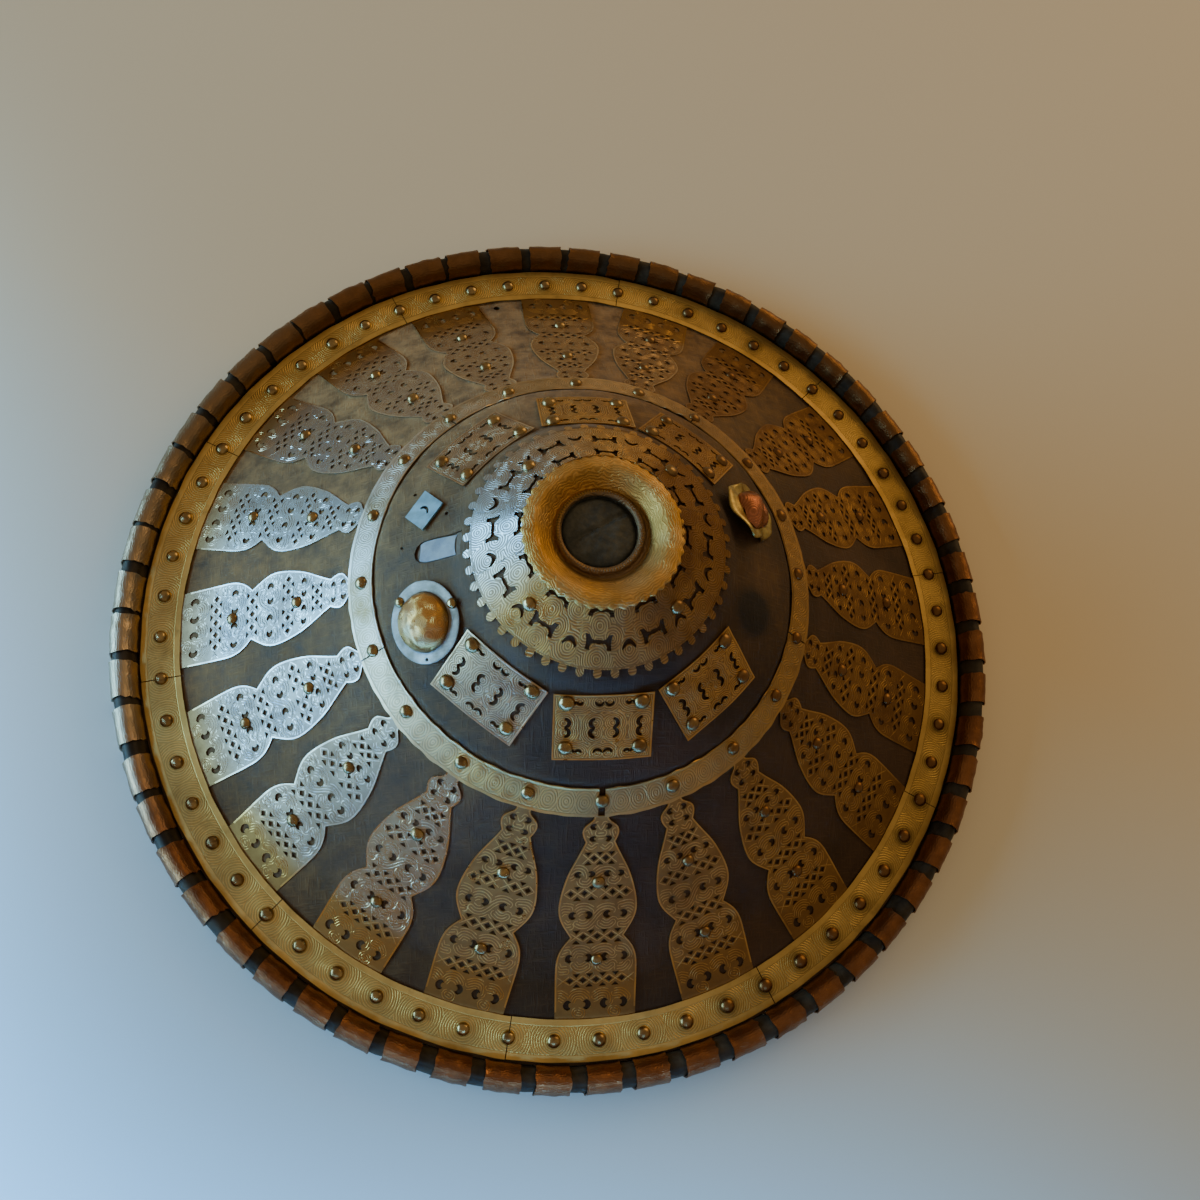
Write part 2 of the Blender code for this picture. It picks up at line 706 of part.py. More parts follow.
# Dished collar round the opening at the tip
def boss_collar():
    profile = offset_profile(upper_profile()[:2], METAL_OFFSET)
    (r0, z0), (r1, z1) = profile
    slope = (z1 - z0)/(r1 - r0)
    rise = hypot(1.0, slope)*(SHEET_THICKNESS + TOUCH_GAP) + LAID_LIFT

    def over_plate(radius):
        return z0 + slope*(radius - r0) + rise

    thickness = SHEET_THICKNESS
    outer = CRATER_RADIUS + COLLAR_OVERLAP
    edge_z = over_plate(outer)
    crest_z = over_plate(CRATER_RADIUS)
    throat_z = crest_z - COLLAR_THROAT_DROP
    bead_radius = (COLLAR_THROAT_RADIUS + COLLAR_OPENING_RADIUS)/2
    section = [
        (COLLAR_OPENING_RADIUS, throat_z),
        (bead_radius, throat_z + COLLAR_BEAD_HEIGHT),
        (COLLAR_THROAT_RADIUS, throat_z),
        (COLLAR_LIP_RADIUS, crest_z + thickness - COLLAR_LIP_DROP),
        (CRATER_RADIUS, crest_z + thickness),
        (outer, edge_z + thickness*0.9),
        (outer, edge_z),
        (CRATER_RADIUS, crest_z),
        (COLLAR_LIP_RADIUS + thickness*0.4, crest_z - COLLAR_LIP_DROP),
        (COLLAR_THROAT_RADIUS + thickness*0.6, throat_z - thickness),
        (bead_radius, throat_z - thickness),
    ]
    collar = turned("boss_collar", section, BRASS, COLLAR_STEPS, closed=True)
    smooth(collar)
    return collar


# Domed studs and the square plate of a lost one
def stud_flange(name, frame, finish):
    """Flat ring on which a dome sits."""
    section = [
        (STUD_DOME_RADIUS + TOUCH_GAP, SHEET_THICKNESS),
        (STUD_FLANGE_RADIUS, SHEET_THICKNESS),
        (STUD_FLANGE_RADIUS, 0.0),
        (STUD_DOME_RADIUS + TOUCH_GAP, 0.0),
    ]
    flange = turned(name, section, finish, STUD_SIDES, closed=True)
    flange.matrix_world = frame
    return flange


def dome_profile(radius, height, levels):
    points = []
    for i in range(levels + 1):
        turn = i*pi/2/levels
        points.append((radius*sin(turn), height*cos(turn)))
    return points


def stud_dome(name, frame, finish):
    """Thin dome, open below."""
    levels = 3
    outer = dome_profile(STUD_DOME_RADIUS, STUD_DOME_HEIGHT, levels)
    inner = dome_profile(STUD_DOME_RADIUS - SHEET_THICKNESS, STUD_DOME_HEIGHT - SHEET_THICKNESS,
                         levels)
    dome = turned(name, outer + inner[::-1], finish, STUD_SIDES, closed=False)
    dome.matrix_world = frame
    smooth(dome, 60.0)
    return dome


def studs():
    lift = METAL_OFFSET + STUD_STANDOFF
    frame = crown_frame(STUD_RADIUS, STUD_AZIMUTH, lift)
    stud_flange("stud_flange", frame, SILVER)
    stud_dome("stud_dome", frame, COPPER)
    tilt = Matrix.Rotation(radians(BENT_STUD_TILT), 4, 'X')
    bent = crown_frame(BENT_STUD_RADIUS, BENT_STUD_AZIMUTH, lift + BENT_STUD_LIFT) @ tilt
    stud_flange("bent_stud_flange", bent, BRASS)
    stud_dome("bent_stud_dome", bent, COPPER)


def square_plate():
    frame = crown_frame(SQUARE_RADIUS, SQUARE_AZIMUTH, METAL_OFFSET + STUD_STANDOFF)
    lying = Matrix.Translation((0, 0, SQUARE_THICKNESS/2)) @ Matrix.Rotation(radians(45.0), 4, 'Z')
    bm = bmesh.new()
    bmesh.ops.create_cube(bm, size=1.0)
    bmesh.ops.scale(bm, vec=(SQUARE_SIDE, SQUARE_SIDE, SQUARE_THICKNESS), verts=bm.verts)
    bmesh.ops.transform(bm, matrix=frame @ lying, verts=bm.verts)
    mesh = bpy.data.meshes.new("square_plate")
    bm.to_mesh(mesh)
    bm.free()
    return add_piece("square_plate", mesh, SILVER)


def grip_thong():
    """End of the grip's thong, seen through the torn facing."""
    frame = crown_frame(THONG_RADIUS, SLOT_AZIMUTH, TOUCH_GAP + LAID_LIFT)
    centre = Matrix.Translation((0, 0, THONG_THICKNESS/2))
    bm = bmesh.new()
    bmesh.ops.create_cube(bm, size=1.0)
    bmesh.ops.scale(bm, vec=(THONG_WIDTH, THONG_LENGTH, THONG_THICKNESS), verts=bm.verts)
    bmesh.ops.transform(bm, matrix=frame @ centre, verts=bm.verts)
    mesh = bpy.data.meshes.new("grip_thong")
    bm.to_mesh(mesh)
    bm.free()
    return add_piece("grip_thong", mesh, PALE_THONG)


# Grip across the inside of the bowl
def grip():
    """Leather roll spanning the bowl along X, its ends cut to the sloping wall."""
    outer = [(NECK_RADIUS, NECK_HEIGHT), *(skirt_ring(share) for share in SKIRT_SHARES)]
    wall = offset_profile(outer, -HIDE_THICKNESS - GRIP_END_GAP)
    clear = cos(HALF_FACET)

    def reach(height, aside):
        """How far along X the roll may run at a height and a distance aside."""
        for (r0, z0), (r1, z1) in zip(wall, wall[1:]):
            if min(z0, z1) <= height <= max(z0, z1):
                radius = (r0 + (r1 - r0)*(height - z0)/(z1 - z0))*clear
                return radius*cos(asin(min(1.0, abs(aside)/radius)))
        return wall[0][0]*clear

    middle = min(GRIP_HEIGHT, wall[0][1] - 1.2*GRIP_ROLL_RADIUS)
    ends = []
    bm = bmesh.new()
    for side in (-1, 1):
        ring = []
        for i in range(GRIP_SIDES):
            turn = 2*pi*i/GRIP_SIDES
            y = GRIP_ROLL_RADIUS*cos(turn)
            z = middle + GRIP_ROLL_RADIUS*sin(turn)
            ring.append(bm.verts.new((side*reach(z, y), y, z)))
        ends.append(ring)
    left, right = ends
    bm.faces.new(left)
    bm.faces.new(right[::-1])
    for i in range(GRIP_SIDES):
        j = (i + 1) % GRIP_SIDES
        bm.faces.new((left[i], left[j], right[j], right[i]))
    bmesh.ops.recalc_face_normals(bm, faces=bm.faces)
    mesh = bpy.data.meshes.new("grip")
    bm.to_mesh(mesh)
    bm.free()
    roll = add_piece("grip", mesh, GRIP_LEATHER)
    smooth(roll)
    return roll


def build_shield():
    clear_scene()
    hide_shell()
    cloth_facing()
    rim_edging()
    outer_band()
    mid_band()
    for index in range(STRAP_COUNT):
        strap(index)
    for index, azimuth in enumerate(CROWN_PLATE_AZIMUTHS):
        crown_plate(index, azimuth)
    boss_plate()
    boss_collar()
    studs()
    square_plate()
    grip_thong()
    grip()


build_shield()
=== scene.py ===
from math import acos, atan2, cos, degrees, hypot, pi, radians, sin, sqrt

import bmesh
import bpy
import numpy as np
from mathutils import Euler, Matrix, Vector


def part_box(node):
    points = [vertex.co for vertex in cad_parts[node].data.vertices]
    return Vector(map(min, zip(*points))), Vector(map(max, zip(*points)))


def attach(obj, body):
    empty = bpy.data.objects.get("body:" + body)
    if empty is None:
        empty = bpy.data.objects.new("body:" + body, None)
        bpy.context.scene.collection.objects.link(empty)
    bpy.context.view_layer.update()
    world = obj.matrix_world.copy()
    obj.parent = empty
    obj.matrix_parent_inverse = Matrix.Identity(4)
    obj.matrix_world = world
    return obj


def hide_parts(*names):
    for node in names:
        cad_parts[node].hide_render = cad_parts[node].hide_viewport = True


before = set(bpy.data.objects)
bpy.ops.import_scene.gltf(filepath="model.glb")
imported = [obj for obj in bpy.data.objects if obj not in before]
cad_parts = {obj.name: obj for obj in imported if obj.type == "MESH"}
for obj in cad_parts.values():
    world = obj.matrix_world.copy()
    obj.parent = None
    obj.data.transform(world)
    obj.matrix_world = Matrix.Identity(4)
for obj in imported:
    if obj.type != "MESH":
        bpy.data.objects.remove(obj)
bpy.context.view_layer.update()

# Hide shield lying on its back, tip up. Metres, +Z up.
# Azimuths run anticlockwise from -Y, seen from above, and radii are taken from the shield's axis.
mm = 0.001
print("shield: frame loaded")

# Where everything lies: the upper face of the hide, from the crater's edge to the rim
hide = {
    "craterRadius": 0.0345, "craterHeight": 0.1454,
    "knobRadius": 0.0608, "knobHeight": 0.1239,
    "neckRadius": 0.0660, "neckHeight": 0.1161,
    "crownRadius": 0.1002, "crownHeight": 0.0871, "footRadius": 0.1008, "footHeight": 0.0841,
    "brimRadius": 0.2037, "brimHeight": 0.0069,
    "rimRadius": 0.2261, "rimHeight": 0.0045,
    "flare": 0.0030, "thickness": 0.0045,
    "softness": 0.0020, "step": 0.00025,
}


def stack(*parts):
    return np.stack(np.broadcast_arrays(*parts), axis=-1)


def polar(radius, turn, up):
    return stack(radius*np.sin(turn), -radius*np.cos(turn), up)


def circle(x, y, radius, count):
    return [(x + radius*cos(a), y + radius*sin(a)) for a in np.linspace(0, 2*pi, count, endpoint=False)]


def turns(count):
    return np.arange(count)*2*pi/count


def runAlong(points):
    return np.concatenate(([0], np.cumsum(np.hypot(*np.diff(points)))))


def hideLine():
    share = np.linspace(0, 1, 30)
    drop = hide["footHeight"] - hide["brimHeight"]
    skirtR = hide["footRadius"] + share*(hide["brimRadius"] - hide["footRadius"])
    skirtZ = hide["footHeight"] - drop*share - 4*hide["flare"]*share*(1 - share)
    corners = ("crater", "knob", "neck", "crown")
    line = [np.concatenate(([hide[corner + kind] for corner in corners], skirt, [hide["rim" + kind]]))
            for kind, skirt in (("Radius", skirtR), ("Height", skirtZ))]
    run = runAlong(line)
    pad = 12
    fine = np.arange(-pad, int(run[-1]/hide["step"]) + pad)*hide["step"]
    width = int(hide["softness"]/hide["step"]) | 1
    soft = []
    for values in line:
        start, end = (np.diff(values)/np.diff(run))[[0, -1]]
        values = np.interp(fine, run, values) + np.minimum(fine, 0)*start + np.maximum(fine - run[-1], 0)*end
        soft.append(np.convolve(values, np.ones(width)/width, mode="valid"))
    alongR, alongZ = np.gradient(soft[0]), np.gradient(soft[1])
    length = np.hypot(alongR, alongZ)
    return *soft, -alongZ/length, alongR/length


lineR, lineZ, normalR, normalZ = hideLine()


# Point over the hide: radius on the hide, azimuth in radians and distance along the normal
def onHide(radius, turn, lift):
    out = radius + np.interp(radius, lineR, normalR)*lift
    return polar(out, turn, np.interp(radius, lineR, lineZ) + np.interp(radius, lineR, normalZ)*lift)


# The same for sheet metal, whose radii are those of its upper face
sheetTop = 0.0020


def onSheet(radius, turn, lift):
    return onHide(radius - np.interp(radius, lineR, normalR)*sheetTop, turn, lift)


# Straight cones run on past their edges: the knob's under the boss plate's fringe, the crown's under its
# plates
def onCone(start, end):
    r, z = hide[start + "Radius"], hide[start + "Height"]
    fall = (z - hide[end + "Height"])/(hide[end + "Radius"] - r)
    size = hypot(1, fall)

    def place(radius, turn, lift):
        up = z - (radius - r)*fall + sheetTop*(size - 1/size) + lift/size
        return polar(radius + (lift - sheetTop)*fall/size, turn, up)

    return place, 1/size


onStraightBoss, _ = onCone("crater", "knob")
onSlope, slopeShare = onCone("neck", "crown")

# The boss stands a little off the axis at its tip, and its crater more so
bossLean = (-0.0003, 0.0010)
craterShift, lipShift = (-0.0014, 0.0009), (-0.0005, -0.0013)


def leaning(points):
    share = np.clip((points[..., 2:] - 0.1225)/0.024, 0, 1)
    return points + share*np.array((*bossLean, 0.0))


def shiftedTip(points, radius, far=(0.0, 0.0)):
    share = np.clip((radius - 0.021)/0.010, 0, 1)[..., None]
    return leaning(points) + (1 - share)*np.array((*craterShift, 0.0)) + share*np.array((*far, 0.0))


def onBoss(radius, turn, lift):
    return leaning(onStraightBoss(radius, turn, lift))


# Flat sheet bent round the crown's cone: run goes down the slope, across goes anticlockwise
def onCrown(run, across, middleRadius, middleTurn, lift):
    slant = middleRadius/slopeShare
    distance = np.hypot(across, slant + run)
    return onSlope(distance*slopeShare, middleTurn + np.arctan2(across, slant + run)/slopeShare, lift)


def crownFrame(radius, azimuth, lift):
    turn = radians(azimuth)
    origin, upper, lower, above = (
        Vector(onCrown(run, 0, radius, turn, lift + more))
        for run, more in ((0, 0), (-mm, 0), (mm, 0), (0, mm)))
    up = (upper - lower).normalized()
    out = (above - origin).normalized()
    side = up.cross(out).normalized()
    place = Matrix((side, up, out)).transposed().to_4x4()
    place.translation = origin
    return place


# Shared makers
def gentleWaves(x, y, size, seed):
    draw = np.random.default_rng(seed)
    total = 0
    for _ in range(7):
        turn, reach, phase = draw.uniform(0, 2*pi), size*draw.uniform(0.6, 1.7), draw.uniform(0, 2*pi)
        total = total + np.sin((x*cos(turn) + y*sin(turn))*2*pi/reach + phase)
    return total/sqrt(7)


def readOff(points, where):
    return np.interp(where, *np.array(points).T)


def throughPoints(points, where):
    x, y = np.array(points, float).T
    slope = np.gradient(y, x)
    k = np.clip(np.searchsorted(x, where, side="right") - 1, 0, len(x) - 2)
    gap = x[k + 1] - x[k]
    t = (where - x[k])/gap
    return ((2*t**3 - 3*t**2 + 1)*y[k] + (t**3 - 2*t**2 + t)*gap*slope[k]
            + (3*t**2 - 2*t**3)*y[k + 1] + (t**3 - t**2)*gap*slope[k + 1])


def addObject(name, mesh, finish=None, crease=38.0):
    piece = bpy.data.objects.new(name, mesh)
    bpy.context.scene.collection.objects.link(piece)
    if finish:
        mesh.materials.clear()
        mesh.materials.append(finish)
    mesh.shade_smooth()
    mesh.set_sharp_from_angle(angle=radians(crease))
    return piece


def mended(mesh, weld=0.000002):
    work = bmesh.new()
    work.from_mesh(mesh)
    bmesh.ops.remove_doubles(work, verts=work.verts, dist=weld)
    bmesh.ops.recalc_face_normals(work, faces=work.faces)
    work.to_mesh(mesh)
    work.free()
    mesh.update()
    return mesh


def meshOf(name, points, faces, mend=True):
    mesh = bpy.data.meshes.new(name)
    mesh.from_pydata(np.asarray(points).tolist(), [], faces)
    mesh.update()
    return mended(mesh) if mend else mesh


def numbered(rows, columns):
    return np.arange(rows*columns).reshape(rows, columns)


def closed(grid, axis=1):
    return np.concatenate((grid, grid.take([0], axis)), axis)


def patch(grid, flip=False):
    a, b, c, d = grid[:-1, :-1], grid[1:, :-1], grid[1:, 1:], grid[:-1, 1:]
    order = (a, d, c, b) if flip else (a, b, c, d)
    return np.stack(order, axis=-1).reshape(-1, 4).tolist()


# Sheet between a top and a bottom grid of points: rows run outwards, columns anticlockwise
def slabMesh(name, top, bottom, around=False):
    grid = numbered(*top.shape[:2])
    low = grid + grid.size
    if around:
        grid, low = closed(grid), closed(low)
    faces = patch(grid) + patch(low, flip=True)
    faces += patch(np.stack((low[0], grid[0]))) + patch(np.stack((grid[-1], low[-1])))
    if not around:
        faces += patch(np.stack((low[:, 0], grid[:, 0])), flip=True)
        faces += patch(np.stack((grid[:, -1], low[:, -1])), flip=True)
    points = np.concatenate((top.reshape(-1, 3), bottom.reshape(-1, 3)))
    return meshOf(name, points, faces, mend=False)


# Closed solid of revolution from a closed section of (radius, height)
def ringMesh(name, section, steps, wobble=None):
    turn = turns(steps)
    r, z, turn = np.broadcast_arrays(*np.array(section).T[:, :, None], turn)
    if wobble:
        r, z = wobble(r, z, turn)
    points = polar(r, turn, z)
    return meshOf(name, points.reshape(-1, 3), patch(closed(closed(numbered(*points.shape[:2]), 0))))


def coordinates(mesh):
    flat = np.zeros(len(mesh.vertices)*3)
    mesh.vertices.foreach_get("co", flat)
    return flat.reshape(-1, 3)


def setCoordinates(mesh, points):
    mesh.vertices.foreach_set("co", np.asarray(points, dtype=np.float32).ravel())
    mesh.update()


def setValues(mesh, **layers):
    for name, values in layers.items():
        layer = mesh.attributes.get(name) or mesh.attributes.new(name, 'FLOAT', 'POINT')
        values = np.broadcast_to(np.asarray(values, dtype=np.float32), len(mesh.vertices))
        layer.data.foreach_set("value", np.ascontiguousarray(values))


def prisms(name, outlines, low, high):
    points, faces = [], []
    for outline in outlines:
        first, count = len(points), len(outline)
        points += [(x, y, low) for x, y in outline] + [(x, y, high) for x, y in outline]
        faces.append([first + i for i in range(count)][::-1])
        faces.append([first + count + i for i in range(count)])
        for i in range(count):
            j = (i + 1) % count
            faces.append([first + i, first + j, first + count + j, first + count + i])
    return addObject(name, meshOf(name, points, faces))


def remove(*things):
    for thing in things:
        bpy.data.objects.remove(thing)


def evaluatedMesh(piece):
    bpy.context.view_layer.update()
    graph = bpy.context.evaluated_depsgraph_get()
    return bpy.data.meshes.new_from_object(piece.evaluated_get(graph))


def carve(piece, *steps):
    for operation, tool in steps:
        cut = piece.modifiers.new(operation, 'BOOLEAN')
        cut.operation, cut.solver, cut.object = operation, 'EXACT', tool
    mesh = evaluatedMesh(piece)
    remove(piece, *(tool for operation, tool in steps))
    return mesh


# A bent copy of a flat template: place turns its (x, y, height) into points of the shield
def bentCopy(template, name, place, finish, crease=38.0):
    mesh = template.copy()
    mesh.name = name
    setCoordinates(mesh, place(*coordinates(template).T))
    return addObject(name, mesh, finish, crease)


def nearest(points, others):
    best = np.full(len(points), 1e9)
    for other in others:
        best = np.minimum(best, np.hypot(points[:, 0] - other[0], points[:, 1] - other[1]))
    return best


# Node trees: a wire is a socket that takes sums
class wire:
    def __init__(self, tree, socket):
        self.tree, self.socket = tree, socket

    def maths(self, operation, *others, clamp=False):
        sockets = enumerate((self, *others))
        return node(self.tree, 'ShaderNodeMath', sockets, operation=operation, use_clamp=clamp)

    def __add__(self, other):
        return self.maths('ADD', other)

    def __sub__(self, other):
        return self.maths('SUBTRACT', other)

    def __mul__(self, other):
        return self.maths('MULTIPLY', other)

    def __rsub__(self, other):
        return node(self.tree, 'ShaderNodeMath', enumerate((other, self)), operation='SUBTRACT')

    def between(self, low, high, newLow=0.0, newHigh=1.0):
        sockets = enumerate((self, low, high, newLow, newHigh))
        return node(self.tree, 'ShaderNodeMapRange', sockets, clamp=True)

    def lines(self, pitch, first=0.0):
        return ((self - first)*(2*pi/pitch)).maths('COSINE').between(-0.45, 0.45)


def node(tree, kind, sockets=(), output=0, **settings):
    made = tree.nodes.new(kind)
    for key, value in settings.items():
        setattr(made, key, value)
    for socket, value in sockets:
        if isinstance(value, wire):
            tree.links.new(value.socket, made.inputs[socket])
        else:
            made.inputs[socket].default_value = value
    return wire(tree, made.outputs[output])


# Copies of small parts on a list of places, by Geometry Nodes
def copiesTree(name, sourceCount):
    tree = bpy.data.node_groups.new(name, 'GeometryNodeTree')
    sources = [f"Source {i + 1}" for i in range(sourceCount)]
    kinds = {"Places": 'Geometry', **dict.fromkeys(sources, 'Object'), "Size spread": 'Float',
             "Turn spread": 'Float', "Seed": 'Int', "Finish": 'Material'}
    for label, kind in kinds.items():
        tree.interface.new_socket(label, in_out='INPUT', socket_type='NodeSocket' + kind)
    tree.interface.new_socket("Copies", in_out='OUTPUT', socket_type='NodeSocketGeometry')
    start, end = tree.nodes.new('NodeGroupInput'), tree.nodes.new('NodeGroupOutput')
    joined = tree.nodes.new('GeometryNodeJoinGeometry')
    given = {label: wire(tree, start.outputs[label]) for label in kinds}
    for label in sources:
        sockets = [("Object", given[label]), ("As Instance", True)]
        part = node(tree, 'GeometryNodeObjectInfo', sockets, "Geometry")
        tree.links.new(part.socket, joined.inputs[0])

    def named(kind, label):
        return node(tree, 'GeometryNodeInputNamedAttribute', [("Name", label)], "Attribute", data_type=kind)

    def randomValue(kind, firstInput, low, high, seed, output):
        sockets = [(firstInput, low), (firstInput + 1, high), ("Seed", seed)]
        return node(tree, 'FunctionNodeRandomValue', sockets, output, data_type=kind)

    seed, sizeSpread, turnSpread = given["Seed"], given["Size spread"], given["Turn spread"]
    pick = randomValue('INT', 4, 0, sourceCount - 1, seed, 2)
    vary = randomValue('FLOAT', 2, 1.0 - sizeSpread, sizeSpread + 1.0, seed, 1)
    spin = randomValue('FLOAT', 2, turnSpread*-1.0, turnSpread, seed + 7.0, 1)
    aim = node(tree, 'FunctionNodeEulerToRotation', [(0, named('FLOAT_VECTOR', "aim"))])
    copies = node(tree, 'GeometryNodeInstanceOnPoints', [
        ("Points", given["Places"]), ("Instance", wire(tree, joined.outputs[0])), ("Pick Instance", True),
        ("Instance Index", pick), ("Rotation", aim), ("Scale", vary*named('FLOAT', "size"))])
    around = node(tree, 'ShaderNodeCombineXYZ', [("Z", spin)])
    turned = node(tree, 'GeometryNodeRotateInstances', [("Instances", copies), ("Rotation", around)])
    solid = node(tree, 'GeometryNodeRealizeInstances', [(0, turned)])
    dressed = node(tree, 'GeometryNodeSetMaterial', [("Geometry", solid), ("Material", given["Finish"])])
    tree.links.new(dressed.socket, end.inputs[0])
    return tree


def copiesOnPlaces(name, places, sources, finish, sizeSpread=0.0, turnSpread=0.0, seed=1, crease=50.0):
    points = bpy.data.meshes.new(name + "Places")
    points.from_pydata([tuple(where) for where, aim, size in places], [], [])
    aims = points.attributes.new("aim", 'FLOAT_VECTOR', 'POINT')
    aims.data.foreach_set("vector", [v for where, aim, size in places for v in aim])
    setValues(points, size=[size for where, aim, size in places])
    holder = addObject(name + "Holder", points)
    made = holder.modifiers.new("copies", 'NODES')
    made.node_group = copiesTree(name + "Tree", len(sources))
    wanted = {"Size spread": sizeSpread, "Turn spread": turnSpread, "Seed": seed, "Finish": finish}
    wanted.update({f"Source {i + 1}": source for i, source in enumerate(sources)})
    for item in made.node_group.interface.items_tree:
        if item.in_out == 'INPUT' and item.name in wanted:
            made[item.identifier] = wanted[item.name]
    mesh = evaluatedMesh(holder)
    mesh.name = name
    remove(holder, *sources)
    return addObject(name, mesh, finish, crease)


def placeAt(point, out):
    return Vector(point), Vector(out).normalized().to_track_quat('Z', 'Y').to_euler()


def settle(piece, slot, *nodes):
    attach(piece, "root")
    if nodes:
        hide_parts(*nodes)
    return piece


# A material being made, with its colour and its bumps so far. Mottle makes two colours in patches, paint lays
# another one over them, and dent adds a bump.
class finishMaker:
    def __init__(self, name, metallic=0.0, **fixed):
        self.material = bpy.data.materials.new(name)
        self.material.use_nodes = True
        self.tree = self.material.node_tree
        self.shader = self.tree.nodes["Principled BSDF"]
        for label, value in {"Metallic": metallic, **fixed}.items():
            self.shader.inputs[label].default_value = value
        self.here = self.node('ShaderNodeTexCoord', output=3)
        self.base = self.bump = None

    def node(self, kind, sockets=(), output=0, **settings):
        return node(self.tree, kind, sockets, output, **settings)

    def value(self, name):
        return self.node('ShaderNodeAttribute', output=2, attribute_name=name)

    def axis(self, number):
        return self.node('ShaderNodeSeparateXYZ', [(0, self.here)], number)

    # Share of the painted shade on the shield's right, away from the window
    def rightShadeShare(self):
        return self.axis(0).between(-0.03, 0.09, 0.0, 0.8)

    def mapped(self, **settings):
        sockets = [("Vector", self.here), *((label.capitalize(), value) for label, value in settings.items())]
        return self.node('ShaderNodeMapping', sockets)

    def grain(self, scale, detail, roughness=0.55, where=None):
        return self.node('ShaderNodeTexNoise', [("Vector", where or self.here), ("Scale", scale),
                                                ("Detail", detail), ("Roughness", roughness)])

    def mix(self, share, first, second, kind='MIX'):
        sockets = [(0, share)]
        for number, colour in ((6, first), (7, second)):
            sockets.append((number, colour if isinstance(colour, wire) else (*colour, 1.0)))
        return self.node('ShaderNodeMix', sockets, 2, data_type='RGBA', blend_type=kind)

    def mottle(self, scale, detail, roughness, low, high, first, second):
        blotch = self.grain(scale, detail, roughness)
        self.base = self.mix(blotch.between(low, high), first, second)
        return blotch

    def paint(self, share, colour, kind='MIX'):
        self.base = self.mix(share, self.base, colour, kind)

    def dent(self, height, distance, strength=1.0):
        sockets = [("Height", height), ("Distance", distance), ("Strength", strength)]
        if self.bump:
            sockets.append(("Normal", self.bump))
        self.bump = self.node('ShaderNodeBump', sockets)

    def done(self, rough=None):
        for label, made in (("Base Color", self.base), ("Roughness", rough), ("Normal", self.bump)):
            if made:
                self.tree.links.new(made.socket, self.shader.inputs[label])
        return self.material


sheetLook = {
    "silver": (0.50, 0.67, 0.77), "copper": (0.66, 0.41, 0.135), "tarnish": (0.16, 0.085, 0.035),
    "linePitch": 1.25, "groovePitch": 1.0, "firstLine": 0.30, "lineDepth": 0.00012, "dents": 0.0004,
}


# Pierced and engraved sheet: lines are raised in the mesh where it says so, else drawn from the groove
# value, a distance in millimetres. Gilding is a share; the tarnish share darkens the metal above zero, and
# below zero it paints the metal lighter and glossier, a painted highlight.
def engravedFinish(name, relief=False):
    look, made = sheetLook, finishMaker(name, metallic=1.0)
    patchy, tarnish, edge = made.grain(85, 4, 0.65), made.value("tarnish"), made.value("edge")
    if relief:
        raised = made.value("line")
    else:
        wobble = made.grain(130, 2).between(0.2, 0.8, -0.5, 0.5)
        raised = (made.value("groove") + wobble).lines(look["groovePitch"], look["firstLine"])
    rimLine = (edge - 1.05).maths('ABSOLUTE').between(0.1, 0.4)
    raised = raised.maths('MAXIMUM', edge.between(0.75, 1.0, 1.0, 0.0)).maths('MINIMUM', rimLine)
    made.base = made.mix(made.value("gilding"), look["silver"], look["copper"])
    made.paint(patchy.between(0.40, 0.64), (0.80, 0.78, 0.82), 'MULTIPLY')
    stain = made.grain(38, 5, 0.6).between(0.50, 0.76)*0.50
    # Stain and ground darkening follow the tarnish share; where it is below zero they are lessened, a painted
    # highlight that lightens the metal
    made.paint(stain.maths('ADD', tarnish*0.85, clamp=True), look["tarnish"])
    ground = (1.0 - raised)*(tarnish*0.6 + 0.62).maths('MINIMUM', 0.62)
    made.paint(ground, look["tarnish"])
    made.dent(made.grain(70, 2), look["dents"], 0.35)
    made.dent(made.grain(520, 3, 0.6), 0.00006, 0.5)
    if not relief:
        made.dent(raised, look["lineDepth"])
    return made.done(patchy*0.34 + 0.14 + ground*0.30 + tarnish*0.22)


# Engraved band: along and across are millimetres on the strip, with figures every pitch
def bandFinish(name, bright, dark, pitch, border, gilded=False):
    look, made = sheetLook, finishMaker(name, metallic=1.0)
    across, right = made.value("across"), made.rightShadeShare()
    cell = made.value("along").maths('PINGPONG', pitch/2)
    reach = (cell*cell + across*across).maths('SQRT')
    side = across.maths('ABSOLUTE')
    rings = (reach + made.grain(150, 2)*1.2).lines(look["linePitch"])
    rings = rings.maths('MAXIMUM', side.between(border, border + 0.35))
    rings = rings.maths('MINIMUM', (side - border).maths('ABSOLUTE').between(0.0, 0.38))
    if gilded:
        bright = made.mix(made.value("gilding"), bright, look["copper"])

    def darker(share):
        return tuple(c*share for c in dark)

    blotch = made.mottle(30, 5, 0.62, 0.40, 0.72, bright, dark)
    made.paint(made.value("tarnish").maths('MULTIPLY', 0.8, clamp=True), look["tarnish"])
    made.paint((1.0 - rings)*0.42, darker(0.6))
    made.paint(made.grain(55, 6, 0.7).between(0.56, 0.74)*0.6, darker(0.4))
    if not gilded:
        # Painted shade: the brass band is darker on the shield's right, away from the window
        made.paint(right*0.28, darker(0.5))
        # Dark patches round the rivets on the right: partly tarnish, partly painted shade
        made.paint(reach.between(3.8, 7.0, 1.0, 0.0)*right*blotch.between(0.38, 0.60), darker(0.3))
    made.dent(made.grain(60, 2), look["dents"], 0.4)
    made.dent(made.grain(500, 3, 0.6), 0.00006, 0.5)
    made.dent(rings, look["lineDepth"])
    return made.done(blotch*0.25 + 0.32)
